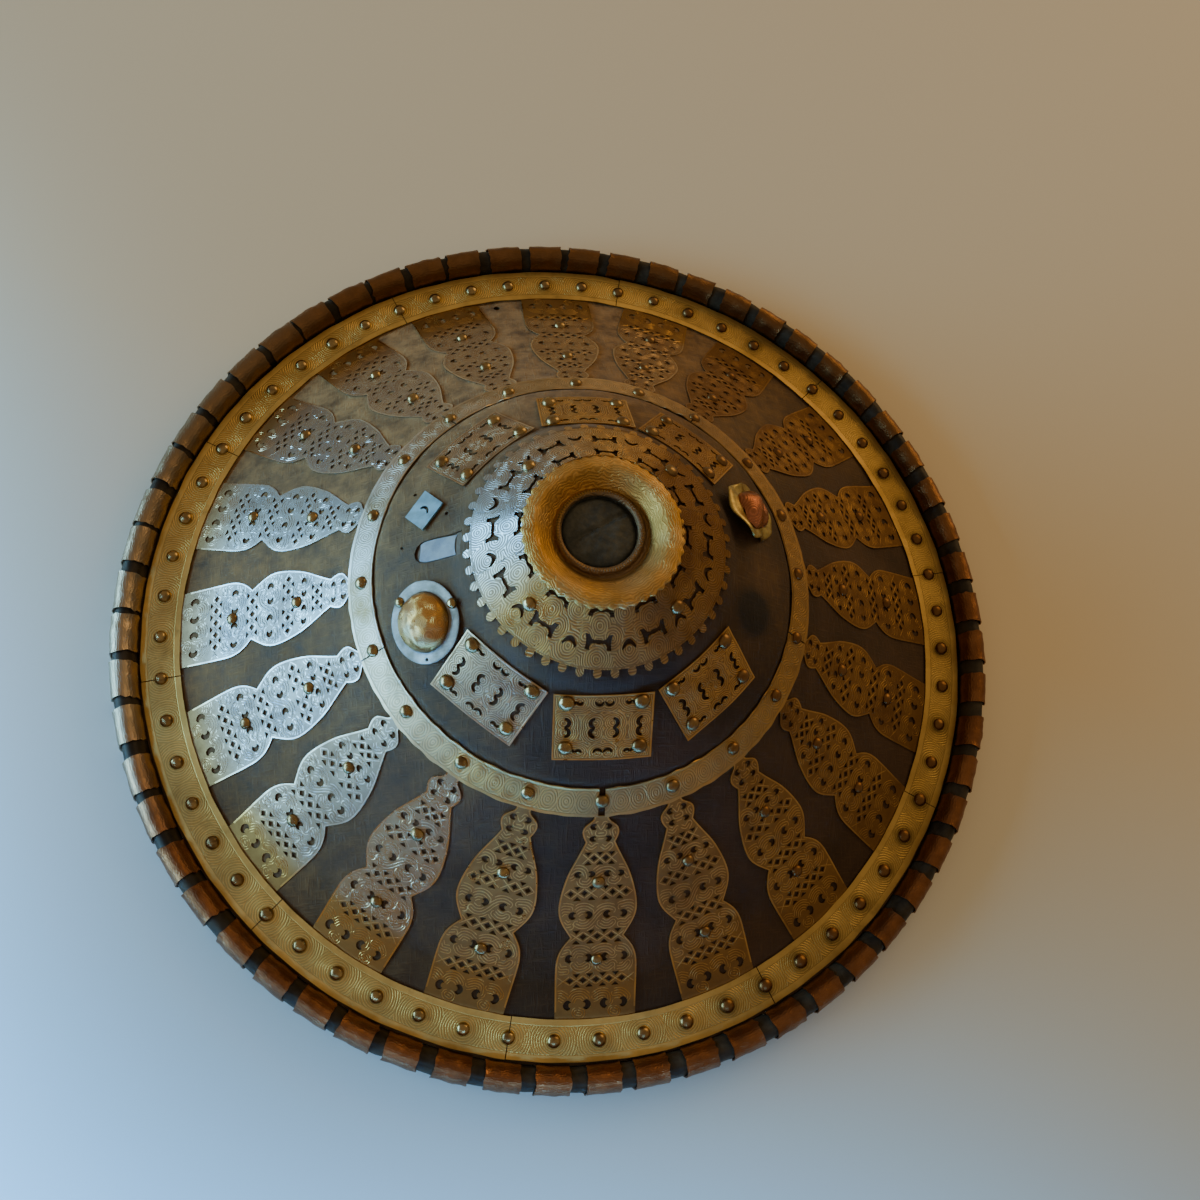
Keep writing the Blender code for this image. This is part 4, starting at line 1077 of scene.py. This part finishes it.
wedge = [(-0.5, -0.5), (-0.5, 0.5), (0.5, 0.06), (0.5, -0.06)]
figures = {
    "left": eyeOutline(-1), "right": eyeOutline(1), "down": wedge, "up": [(-a, b) for a, b in wedge],
    "diamond": [(0, -0.5), (0.5, 0), (0, 0.5), (-0.5, 0)],
}


def strapHalfWidth(along):
    knob, middle, foot = (throughPoints(strap[part], along) for part in ("knob", "body", "foot"))
    return np.where(along < strap["bodyFrom"], knob, np.where(along < strap["footFrom"], middle, foot))


def strapTemplate():
    stops = (strap["knob"][0][0], strap["bodyFrom"], strap["footFrom"], strap["foot"][-1][0])
    along = np.concatenate([np.linspace(a, b, round((b - a)/strap["rowStep"]) + 1)[:-1]
                            for a, b in zip(stops, stops[1:])] + [[stops[-1]]])[:, None]
    across = strapHalfWidth(along)*np.linspace(-1, 1, strap["columns"] + 1)
    flat = flatSlab("strapFlat", along*mm, across*mm, strap["thickness"])
    size = strap["holeSize"]
    outlines = [[((radius + a*high*size)*mm, (place + b*wide*size)*mm) for a, b in figures[kind]]
                for kind, radius, across, wide, high in strapHoles for place in across]
    mesh = carve(flat, ('DIFFERENCE', prisms("strapTool", outlines, -0.002, 0.003)))
    setValues(mesh, line=0.0)
    ridges = ridgeMesh(scrollRows(), strap["thickness"]/mm, strap["ridgeWidth"], strap["ridgeRise"])
    setValues(ridges, line=1.0)
    whole = bmesh.new()
    whole.from_mesh(mesh)
    whole.from_mesh(ridges)
    whole.to_mesh(mesh)
    whole.free()
    x, y, z = coordinates(mesh).T/mm
    margin = strapHalfWidth(np.clip(x, stops[0], stops[-1])) - np.abs(y)
    setValues(mesh, edge=np.where(x > 200, 3.0, margin))
    return mesh


def strapPlace(azimuth, down, seed):
    turn = radians(azimuth)
    skew = np.random.default_rng(seed).normal()*0.005

    def place(x, y, height):
        y = y + (x - 0.16)*skew
        x = x + down*mm*np.clip((0.206 - x)/0.02, 0, 1)
        lift = strap["low"] + height
        lift = lift + uneven(x, y, seed, (0.00012, 0.04), (0.00002, 0.010), (-0.00012, 0.0002))
        return onSheet(np.hypot(x, y), turn + np.arctan2(y, x), lift)

    return place


def straps():
    template = strapTemplate()
    foot = np.clip((coordinates(template)[:, 0]/mm - 180)/20, 0, 1)
    for i, (azimuth, down) in enumerate(zip(strap["azimuths"], strap["shifts"])):
        place = strapPlace(azimuth, down, 100 + 2*i)
        piece = bentCopy(template, f"strapSheet_{i + 1:02d}", place, finishes["strap"])
        gilding, tarnish = toneAt(azimuth)
        setValues(piece.data, gilding=np.clip(gilding + 0.7*foot, 0, 1),
                  tarnish=np.clip(tarnish + 0.10*foot, -0.5, 1))
        settle(piece, "gilt_silver", f"strap_{i + 1:02d}")


straps()
print("shield: straps")

# Six pierced plates on the crown, in millimetres: run down the slope, then across
crownPlate = {
    "azimuths": (-41.5, -1.0, 39.0, 139.0, 178.5, 220.0), "gildings": (0.72, 1.0, 1.0, 1.0, 1.0, 0.66),
    "radius": 0.0791, "low": 0.0016, "thickness": 0.0006, "cornerRise": 0.0009,
    "halfHeight": 16.4, "halfWidth": 22.9, "rows": 40, "columns": 56,
}


# A thick stroke shaped like a 3: two lobes bulging to one side, with a prong between them
def bracketOutline(run, across, reach, size, thickness, side, upright):
    hollow, shift = size - thickness*0.62, thickness*0.38
    cusp = acos(min(1.0, sqrt(max(size**2 - reach**2, 0.0))/size)) if size > reach else pi/2
    lobe = [(-reach + size*sin(a), size*cos(a)) for a in np.linspace(-1.75, cusp, 9)]
    inner = [(-reach + hollow*sin(a), -shift + hollow*cos(a)) for a in np.linspace(1.15, -1.35, 7)]
    outline = lobe + [(-a, b) for a, b in lobe[::-1][1 if size > reach else 0:]]
    outline += [(-a, b) for a, b in inner[::-1]] + [(0.0, -shift*0.8)] + inner
    if upright:
        return [((run + a)*mm, (across + side*b)*mm) for a, b in outline]
    return [((run + side*b)*mm, (across + a)*mm) for a, b in outline]


def plateTemplate():
    look = crownPlate
    x = np.linspace(-1, 1, look["rows"] + 1)[:, None]*look["halfHeight"]
    y = np.linspace(-1, 1, look["columns"] + 1)*look["halfWidth"]
    flat = flatSlab("plateFlat", x*mm, y*mm, look["thickness"])
    outlines, centres = [], []
    for across, side in ((-15.6, 1), (-5.85, -1), (6.2, 1), (15.9, -1)):
        outlines.append(bracketOutline(0, across - side*1.5, 2.45, 2.65, 1.95, side, True))
        centres += [(run, across - side*2.0) for run in (-2.45, 2.45)]
    for run, side in ((-11.9, 1), (11.2, -1)):
        for across in (-12.6, 0, 12.6):
            reach, size = (2.3, 2.25) if across == 0 else (1.55, 1.6)
            outlines.append(bracketOutline(run - side*1.0, across, reach, size, 1.5, side, False))
            centres += [(run - side*1.3, across + shift) for shift in (-reach, reach)]
    mesh = carve(flat, ('DIFFERENCE', prisms("plateTool", outlines, -0.002, 0.003)))
    places = coordinates(mesh)[:, :2]/mm
    margin = np.min((look["halfHeight"], look["halfWidth"]) - np.abs(places), axis=1)
    setValues(mesh, groove=nearest(places, centres), edge=margin)
    return mesh


def crownPlates():
    template, look = plateTemplate(), crownPlate
    for i, (azimuth, gilding) in enumerate(zip(look["azimuths"], look["gildings"])):
        def place(x, y, height):
            corner = np.clip(np.abs(x*y)/(look["halfHeight"]*look["halfWidth"]*mm**2) - 0.7, 0, 1)
            waves = uneven(x, y, 200 + 3*i, (0.00016, 0.03), (0.00003, 0.010), (-0.00015, 0.0003))
            lift = look["low"] + height + waves + corner*look["cornerRise"]
            return onCrown(x, y, look["radius"], radians(azimuth), lift)

        piece = bentCopy(template, f"crownSheet_{i + 1}", place, finishes["plate"])
        setValues(piece.data, gilding=gilding, tarnish=max(toneAt(azimuth)[1]*0.7, 0.10))
        settle(piece, "gilt_silver", f"crown_plate_{i + 1}")


crownPlates()
print("shield: crown plates")

# Boss plate: one pierced sector repeated twelve times, with a fringe of round knobs
bossPlate = {
    "sectors": 12, "start": -16.45, "inner": 34.3, "edge": 58.2, "rows": 34, "columns": 38, "low": 0.0016,
    "thickness": 0.0006, "knobRadius": 59.4, "knobSize": 1.9, "knobs": (-12.7, -5.2, 2.3, 9.8),
}
boneOuter = ((0, 0.85), (1.6, 0.60), (3.1, 0.90), (3.6, 1.6), (3.7, 3.1), (5.6, 3.1), (5.4, 1.1), (5.6, -0.6),
             (6.4, -2.6), (4.2, -2.4), (3.2, -1.0), (1.8, -0.60), (0, -0.85))
boneInner = ((0, 0.8), (1.5, 0.55), (2.8, 0.80), (3.4, 1.4), (3.6, 2.5), (5.4, 2.5), (5.0, 0.5), (4.8, -0.9),
             (5.5, -2.5), (3.9, -2.5), (3.0, -1.1), (1.6, -0.60), (0, -0.90))


def atPolar(radius, azimuth):
    turn = np.radians(azimuth)
    return radius*np.sin(turn)*mm, -radius*np.cos(turn)*mm


def boneOutline(half, radius, azimuth):
    outline = [*half, *((-a, b) for a, b in half[1:-1][::-1])]
    return [atPolar(radius + b, azimuth + degrees(a/radius)) for a, b in outline]


def cupOutline(radius, azimuth, width, depth, thickness):
    t = np.linspace(-1, 1, 13)
    line = radius + depth*np.abs(t)**2.2
    half = thickness/2*(1 - 0.5*t**4)
    spread = np.degrees(width/2*t/radius)
    inner = [atPolar(r, azimuth + a) for r, a in zip(line - half, spread)]
    outer = [atPolar(r, azimuth + a*0.86) for r, a in zip((line + half)[::-1], spread[::-1])]
    return inner + outer


def bossPlateMesh():
    look = bossPlate
    step = 360/look["sectors"]
    azimuth = np.linspace(look["start"], look["start"] + step, look["columns"] + 1)
    radius = np.linspace(look["inner"], look["edge"], look["rows"] + 1)[:, None]
    flat = flatSlab("bossFlat", *atPolar(radius, azimuth), look["thickness"])
    discs = [circle(*atPolar(look["knobRadius"], turn), look["knobSize"]*mm, 18) for turn in look["knobs"]]
    holes = [boneOutline(boneOuter, 48.2, -6.0), boneOutline(boneInner, 37.1, -6.0),
             cupOutline(48.7, 9.5, 6.4, 2.6, 1.9)]
    mesh = carve(flat, ('UNION', prisms("knobTool", discs, 0.0, look["thickness"] + 0.00001)),
                 ('DIFFERENCE', prisms("bossTool", holes, -0.002, 0.003)))
    places = coordinates(mesh)[:, :2]/mm
    centres = [(51.4, 9.5), (38.4, 9.3), (46.8, -13.2), (46.8, 1.2), (54.5, -6.0), (42.4, -6.0)]
    reach = np.hypot(*places.T)
    setValues(mesh, groove=nearest(places, [np.array(atPolar(r, a))/mm for r, a in centres]),
              edge=np.where(reach > look["edge"], 1.5, np.abs(look["edge"] - reach) + 0.35))
    whole = bmesh.new()
    for i in range(look["sectors"]):
        turned = mesh.copy()
        turned.transform(Matrix.Rotation(radians(step*i), 4, 'Z'))
        whole.from_mesh(turned)
        bpy.data.meshes.remove(turned)
    bmesh.ops.remove_doubles(whole, verts=whole.verts, dist=0.00003)
    inner = [f for f in whole.faces if any(len(e.link_faces) > 2 for e in f.edges)
             and abs(f.normal.z) < 0.3 and f.calc_area() > 1e-8]
    bmesh.ops.delete(whole, geom=inner, context='FACES_ONLY')
    result = bpy.data.meshes.new("bossPlate")
    whole.to_mesh(result)
    whole.free()
    return result


def bossSheet():
    def place(x, y, height):
        waves = uneven(x, y, 301, (0.00014, 0.025), (0.00003, 0.010), (-0.0001, 0.0003))
        return onBoss(np.hypot(x, y), np.arctan2(x, -y), bossPlate["low"] + height + waves)

    piece = bentCopy(bossPlateMesh(), "bossSheet", place, finishes["boss"])
    x, y, z = coordinates(piece.data).T
    azimuth = np.degrees(np.arctan2(x, -y))
    gilding, tarnish = toneAt(azimuth + 10)
    setValues(piece.data, gilding=np.clip(gilding*1.4, 0, 1),
              tarnish=np.clip(tarnish*1.2 + 0.22*np.exp(-((azimuth - 10)/35)**2), -0.1, 1))
    return settle(piece, "gilt_silver", "boss_plate")


bossSheet()
print("shield: boss plate")

# Collar: a golden dished ring with an engraved face and a notched bead round the tip
collar = {
    "steps": 360, "thickness": 0.0006, "highest": 0.14935, "notches": 90, "teeth": 46,
    "face": ((0.0170, 0.1414), (0.0174, 0.1425), (0.0183, 0.1431), (0.0193, 0.1431), (0.0201, 0.1424),
             (0.0206, 0.1413), (0.0212, 0.1409), (0.0223, 0.1415), (0.0241, 0.1434), (0.0260, 0.1457),
             (0.0277, 0.1475), (0.0292, 0.1486), (0.0306, 0.1490), (0.0322, 0.1490), (0.0338, 0.1487),
             (0.0351, 0.1482), (0.0358, 0.1477), (0.0359, 0.1468)),
}


def collarFinish():
    made = finishMaker("goldenCollar", metallic=1.0)
    flat = made.node('ShaderNodeVectorMath', [(0, made.here), (1, (1000.0, 1000.0, 0.0))], operation='MULTIPLY')
    reach = made.node('ShaderNodeVectorMath', [(0, flat)], 1, operation='LENGTH')
    rings = (reach + made.grain(150, 2, 0.5)*6.0).lines(1.15)
    blotch = made.mottle(75, 6, 0.62, 0.38, 0.70, (0.78, 0.49, 0.16), (0.46, 0.27, 0.075))
    made.paint(made.grain(34, 3).between(0.48, 0.66)*0.4, (0.66, 0.52, 0.30))
    made.base = made.mix(reach.between(19.8, 20.8), (0.27, 0.20, 0.135), made.base)
    # Painted shadow: a soft dark band round the bead, in the ditch
    made.paint((reach - 21.2).maths('ABSOLUTE').between(0.0, 2.2, 1.0, 0.0)*0.85, (0.07, 0.045, 0.02))
    made.paint((1.0 - rings)*0.40, (0.30, 0.17, 0.05))
    made.dent(blotch, 0.0004, 0.5)
    made.dent(rings, 0.00014)
    return made.done(blotch*0.20 + 0.48)


def collarPiece():
    line = roundedRun(collar["face"], 46)
    turn = turns(collar["steps"])
    r, z = line.T[:, :, None]
    x, y = r*np.sin(turn), -r*np.cos(turn)
    waves = 0.00016*gentleWaves(x, y, 0.012, 401) + 0.00006*gentleWaves(x, y, 0.005, 402)
    waves = waves*np.clip((r - 0.0205)/0.004, 0, 1)
    notch = 0.00022*np.sin(turn*collar["notches"])*np.exp(-((r - 0.0192)/0.0009)**2)
    reach = r + np.clip((r - 0.0335)/0.0025, 0, 1)*0.00050*np.sin(turn*collar["teeth"])
    z = np.minimum(z + waves + notch, collar["highest"])
    along = np.gradient(line, axis=0)
    out, up = (along/np.hypot(*along.T)[:, None]).T[::-1, :, None]*np.array((-1, 1))[:, None, None]
    grids = [shiftedTip(polar(reach - out*depth, turn, z - up*depth), r, lipShift)
             for depth in (0.0, collar["thickness"])]
    mesh = slabMesh("goldenCollar", *grids, around=True)
    return settle(addObject("goldenCollar", mesh, collarFinish()), "brass", "boss_collar")


collarPiece()
print("shield: collar")

# Studs: a good one on the left, a crushed one on the right, and the square plate of a lost one
stud = {"azimuth": -71.6, "radius": 0.0828, "dome": 0.0138, "height": 0.0098, "lift": 0.0018,
        "rivets": ((0.0902, -80.8), (0.0693, -72.2)), "pin": (0.0158, -0.0062, 0.0009),
        "ring": ((0.0139, 0.0012), (0.0143, 0.0009), (0.0155, 0.0008), (0.0172, 0.0008), (0.0186, 0.00085),
                 (0.0190, 0.0007))}
bent = {"azimuth": 106.8, "radius": 0.0812, "dome": 0.0126, "height": 0.0072, "lift": 0.0046, "tilt": 9.0,
        "ring": ((0.0124, 0.0006), (0.0144, 0.0008), (0.0160, 0.0010), (0.0172, 0.0012), (0.0183, 0.0010),
                 (0.0188, 0.0006))}


def domeFinish(name, first, second, pale):
    made = finishMaker(name, metallic=1.0)
    blotch = made.mottle(95, 6, 0.62, 0.38, 0.68, first, second)
    swirl = made.node('ShaderNodeTexVoronoi', [("Vector", made.here), ("Scale", 125.0), ("Randomness", 0.7)])
    rings = (swirl*8.0).lines(0.72)
    made.paint(made.grain(60, 3).between(0.55, 0.7)*0.25, pale)
    made.paint((1.0 - rings)*0.35, tuple(c*0.5 for c in second))
    made.dent(blotch, 0.0005, 0.6)
    made.dent(rings, 0.00006)
    return made.done(blotch*0.25 + 0.18)


# A round thin part between two faces of one profile, shaped in its own plane and then put in its place
def discGrid(profile, steps, place, shape, thickness=0.0006):
    turn = turns(steps)
    r, z = np.array(profile).T[:, :, None]
    x, y, z = shape(*np.broadcast_arrays(r*np.cos(turn), r*np.sin(turn), z))
    return [(stack(x, y, z - drop, 1.0) @ np.array(place).T)[..., :3] for drop in (0.0, thickness)]


def domePiece(name, look, place, shape, finish, node):
    line = [(look["dome"]*sin(a), look["height"]*cos(a)**0.9 if cos(a) > 0 else 0.0)
            for a in np.linspace(0.02, pi/2, 15)]
    mesh = slabMesh(name, *discGrid(line, 72, place, shape), around=True)
    settle(addObject(name, mended(mesh, 0.00035), finish, 40.0), "copper", node)


def goodStud():
    place = crownFrame(stud["radius"], stud["azimuth"], stud["lift"])

    def dented(x, y, z):
        dent = 0.0011*np.exp(-(((x + 0.0095)/0.004)**2 + ((y + 0.0015)/0.005)**2))
        peak = 0.0007*np.exp(-((x/0.0022)**2 + ((y + 0.0005)/0.003)**2))
        return x, y, z - dent*(z > 0.001) + peak + 0.00015*gentleWaves(x, y, 0.006, 501)*(z > 0.001)

    def buckled(x, y, z):
        return x, y, z + 0.00022*gentleWaves(x, y, 0.02, 502)

    domePiece("studDome", stud, place, dented,
              domeFinish("studCopper", (0.80, 0.47, 0.15), (0.50, 0.24, 0.07), (0.74, 0.62, 0.50)), "stud_dome")
    grids = discGrid(stud["ring"], 96, Matrix.Identity(4), buckled, 0.0005)
    flat = addObject("flangeFlat", slabMesh("flangeFlat", *grids, around=True))
    mesh = carve(flat, ('DIFFERENCE', prisms("pinTool", [circle(*stud["pin"], 10)], -0.01, 0.01)))
    mesh.transform(place)
    settle(addObject("studFlange", mesh, finishes["silver"]), "silver", "stud_flange")


def bentStud():
    place = crownFrame(bent["radius"], bent["azimuth"], bent["lift"])
    place = place @ Matrix.Rotation(radians(bent["tilt"]), 4, 'X')

    def squeezed(x, y):
        return x*(1 - 0.22*np.cos(2*np.arctan2(y, x) - 0.5))

    def crushed(x, y, z):
        fold = 0.0020*np.sin(x*260 + 0.6) + 0.0012*np.sin(y*340 + x*150)
        dent = 0.0042*np.exp(-(((x - 0.003)/0.005)**2 + ((y + 0.005)/0.004)**2))
        return squeezed(x, y), y, z*0.95 + fold*(z > 0.0004)*0.5 - dent*(z > 0.002)

    def crumpled(x, y, z):
        turn = np.arctan2(y, x)
        share = np.clip((np.hypot(x, y) - 0.0125)/0.0065, 0, 1)
        rise = share*(0.0016*np.sin(3*turn + 0.8) + 0.0009*np.sin(7*turn) - 0.0008)
        return squeezed(x, y)*(1 - 0.05*share*np.sin(5*turn)), y, z + rise

    domePiece("crushedDome", bent, place, crushed,
              domeFinish("crushedCopper", (0.50, 0.20, 0.12), (0.26, 0.10, 0.05), (0.52, 0.34, 0.20)),
              "bent_stud_dome")
    finish = plainMetal("crumpledBrass", (0.52, 0.44, 0.17), (0.24, 0.18, 0.08), 0.26, 0.46, 150)
    mesh = slabMesh("crumpledFlange", *discGrid(bent["ring"], 96, place, crumpled, 0.0005), around=True)
    settle(addObject("crumpledFlange", mesh, finish), "brass", "bent_stud_flange")


square = {"azimuth": -110.0, "radius": 0.0822, "side": 0.0157, "thickness": 0.0010, "lift": 0.0018, "turn": 64}


def squarePlate():
    x, y = np.meshgrid(*[np.linspace(-0.5, 0.5, 15)*square["side"]]*2, indexing="ij")
    flat = flatSlab("squareFlat", x, y, square["thickness"], 0.0001*gentleWaves(x, y, 0.012, 601))
    arc = np.linspace(-1.25, 1.25, 9)
    moon = [(0.0035*sin(a) + 0.0004, 0.0035*cos(a) - 0.0012) for a in arc]
    moon += [(0.0025*sin(a) + 0.0004, 0.0019*cos(a) - 0.0012) for a in arc[::-1]]
    mesh = carve(flat, ('DIFFERENCE', prisms("moonTool", [moon], -0.002, 0.004)))
    finish = plainMetal("blueSilver", (0.28, 0.43, 0.52), (0.20, 0.30, 0.36), 0.36, 0.58)
    piece = addObject("squareSheet", mesh, finish)
    place = crownFrame(square["radius"], square["azimuth"], square["lift"])
    mesh.transform(place @ Matrix.Rotation(radians(square["turn"]), 4, 'Z'))
    settle(piece, "silver", "square_plate")


thong = {"radius": 0.0728, "azimuth": -95.0, "lift": 0.0005, "halfLength": 0.0100, "halfWidth": 0.0051}


def thongEnd():
    x, y = np.meshgrid(np.linspace(-1, 1, 21), np.linspace(-1, 1, 13), indexing="ij")
    bulge = 0.0004*(1 - y**4) + 0.00012*gentleWaves(x*thong["halfLength"], y*0.005, 0.006, 611)
    y = y*thong["halfWidth"]*np.sqrt(1 - np.clip(-x - 0.35, 0, 0.62)**2)*(1 - 0.08*np.clip(x, 0, 1))
    x = x*thong["halfLength"] - 0.0010*(y/0.005)**2*np.sign(-x)
    grids = [stack(y, x, up)[:, ::-1] for up in (0.0005 + np.clip(bulge, 0, 0.0006), 0.0)]
    mesh = slabMesh("thongEnd", *grids)
    mesh.transform(crownFrame(thong["radius"], thong["azimuth"], thong["lift"]))
    settle(addObject("thongEnd", mended(mesh), finishes["thong"]), "thong", "grip_thong")


goodStud()
bentStud()
squarePlate()
thongEnd()
print("shield: studs and square plate")

# Grip: a rolled leather bar across the bowl
grip = {"radius": 0.0105, "lap": 0.0005, "lapPitch": 0.011, "around": 28, "along": 90}


def gripRoll():
    low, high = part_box("grip")
    middle = (low + high)/2
    reach = (high.x - low.x)/2 - 0.0005
    t, turn = np.meshgrid(np.linspace(-1, 1, grip["along"]), turns(grip["around"]), indexing="ij")
    radius = grip["radius"] + grip["lap"]*(((t*reach/grip["lapPitch"] + turn/(2*pi)) % 1.0) - 0.5)
    y, z = radius*np.cos(turn), radius*np.sin(turn)
    corners = np.array([v.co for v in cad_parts["grip"].data.vertices])
    right = corners[corners[:, 0] > 0]
    right = right[np.argsort(right[:, 2])]
    ends = np.interp(middle.z + z, right[:, 2], right[:, 0]) - 0.0003
    points = stack(t*ends, y + middle.y, z + middle.z)
    grid = numbered(*t.shape)
    faces = patch(closed(grid)) + [grid[0].tolist(), grid[-1][::-1].tolist()]
    piece = addObject("gripRoll", meshOf("gripRoll", points.reshape(-1, 3), faces), finishes["grip"], 60)
    settle(piece, "grip_leather", "grip")


gripRoll()
print("shield: grip")

# Rivets
rivets = {"segments": 18, "rings": 6, "heightShare": 0.72, "bandRadius": 0.0035, "plateRadius": 0.0036,
          "outerRing": 0.2147, "midRing": 0.1077, "strapRings": (0.1414, 0.1761), "bossRing": 0.0458}


def headMesh(name, seed):
    draw = np.random.default_rng(seed)
    turn = turns(rivets["segments"])
    points, height = [], rivets["heightShare"]
    for level in np.linspace(0, 1, rivets["rings"])[:-1]:
        out, up = cos(level*pi/2), height*sin(level*pi/2)
        ring = stack(out*np.cos(turn), out*np.sin(turn), up)
        points.append(ring*(1 + 0.015*draw.normal(size=(len(turn), 1))))
    points = [points[0] - (0, 0, 0.25)] + points
    grid = closed(numbered(len(points), len(turn)))
    top = len(points)*len(turn)
    faces = patch(grid, flip=True) + [grid[0, :-1][::-1].tolist()]
    faces += [[int(a), int(b), top] for a, b in zip(grid[-1], grid[-1, 1:])]
    return meshOf(name, np.concatenate((*points, [[0, 0, height]])), faces)


def heads(name, seed, places):
    sources = [addObject(f"{name}Source{i}", headMesh(f"{name}Head{i}", seed + i)) for i in range(3)]
    made = copiesOnPlaces(name, places, sources, finishes["rivet"], sizeSpread=0.05, turnSpread=3.1, seed=seed)
    return settle(made, "brass")


def headAt(surface, lift, size, *where):
    base = surface(*where, lift)
    point, aim = placeAt(base, surface(*where, lift + mm) - base)
    return point, tuple(aim), size


def onTopOf(surface, look, size):
    return lambda *where: headAt(surface, look["low"] + look["thickness"], size, *where)


def allRivets():
    size, plateSize = rivets["bandRadius"], rivets["plateRadius"]
    head = onTopOf(onSheet, bands["outer"], size)
    heads("outerBandRivets", 11, [head(rivets["outerRing"], radians(6*i)) for i in range(60)])
    head = onTopOf(onSheet, bands["mid"], size*0.96)
    heads("midBandRivets", 21, [head(rivets["midRing"], radians(a)) for a in strap["azimuths"]])
    head = onTopOf(onSheet, strap, size*0.93)
    heads("strapRivets", 31, [head(radius + down*mm, radians(a))
                              for a, down in zip(strap["azimuths"], strap["shifts"])
                              for radius in rivets["strapRings"]])
    head = onTopOf(onCrown, crownPlate, plateSize)
    heads("crownPlateRivets", 41, [head(run, across, crownPlate["radius"], radians(a))
                                   for a in crownPlate["azimuths"]
                                   for run in (-0.0122, 0.0102) for across in (-0.0170, 0.0170)])
    head = onTopOf(onBoss, bossPlate, plateSize*0.95)
    heads("bossRivets", 51, [head(rivets["bossRing"], radians(a)) for a in (42, 132, -138, -48)])
    heads("studRivets", 61, [headAt(onSlope, 0.0034, 0.0025, radius, radians(a))
                             for radius, a in stud["rivets"]])


allRivets()
print("shield: rivets")


# Floor, light and camera. A glow is a light close above the floor, outside the picture.
def glow(x, y, size, power):
    return {"at": (x, y, 0.55), "size": size, "power": power, "colour": (0.18, 0.55, 1.0), "spread": 90,
            "towards": (x, y, 0)}


studio = {
    "floorSize": 6.0, "floorPaintedCool": (0.38, 0.70, 1.0), "floorPaintedWarm": (0.80, 0.70, 0.52),
    "air": ((0.90, 0.64, 0.36), 0.34),
    "cameraAt": (-0.0807, -0.1786, 0.6031), "cameraTurn": (18.2957, -8.0086, -4.4543), "lens": 34.13,
}
studioLights = {
    "window": {"at": (-2.3, 0.15, 0.52), "size": (2.2, 0.95), "power": 70.0, "colour": (0.32, 0.72, 1.0),
               "spread": 180, "towards": (0, 0, 0.05)},
    "lamp": {"at": (1.9, 1.7, 1.2), "size": (1.8, 1.6), "power": 19.0, "colour": (1.0, 0.62, 0.26),
             "spread": 180, "towards": (0, 0, 0.05)},
    "cornerGlow": glow(-0.66, -0.64, (0.4, 0.4), 23.0),
    "nearGlow": glow(-0.15, -0.80, (0.5, 0.3), 17.0),
    "leftGlow": glow(-0.80, -0.12, (0.3, 0.4), 15.0),
}


def floorPiece():
    work = bmesh.new()
    bmesh.ops.create_grid(work, x_segments=8, y_segments=8, size=studio["floorSize"]/2)
    bmesh.ops.translate(work, verts=work.verts, vec=(0, 0, -0.0003))
    mesh = bpy.data.meshes.new("paleFloor")
    work.to_mesh(mesh)
    work.free()
    made = finishMaker("floorPaintedLight", **{"Roughness": 0.8})
    # Painted light: the floor is bluish near the front left, where the window light falls, and warm towards the
    # back right
    slant = made.axis(0)*0.45 + made.axis(1)
    made.base = made.mix(slant.between(-0.55, 0.10), studio["floorPaintedCool"], studio["floorPaintedWarm"])
    addObject("paleFloor", mesh, made.done())


def areaLight(name, look):
    light = bpy.data.lights.new(name, 'AREA')
    light.shape, (light.size, light.size_y) = 'RECTANGLE', look["size"]
    light.energy, light.color, light.spread = look["power"], look["colour"], radians(look["spread"])
    lamp = bpy.data.objects.new(name, light)
    lamp.location = look["at"]
    lamp.rotation_euler = (Vector(look["towards"]) - Vector(look["at"])).to_track_quat('-Z', 'Y').to_euler()
    bpy.context.scene.collection.objects.link(lamp)


def studioAir():
    world = bpy.data.worlds.new("studioAir")
    bpy.context.scene.world = world
    world.use_nodes = True
    colour, strength = studio["air"]
    inputs = world.node_tree.nodes["Background"].inputs
    inputs[0].default_value, inputs[1].default_value = (*colour, 1.0), strength


def cameraPiece():
    camera = bpy.data.objects.new("viewCamera", bpy.data.cameras.new("viewCamera"))
    camera.data.lens = studio["lens"]
    camera.data.sensor_width = 36.0
    camera.location = studio["cameraAt"]
    camera.rotation_euler = Euler([radians(a) for a in studio["cameraTurn"]])
    bpy.context.scene.collection.objects.link(camera)
    bpy.context.scene.camera = camera


floorPiece()
for lampName, look in studioLights.items():
    areaLight(lampName + "Light", look)
studioAir()
cameraPiece()
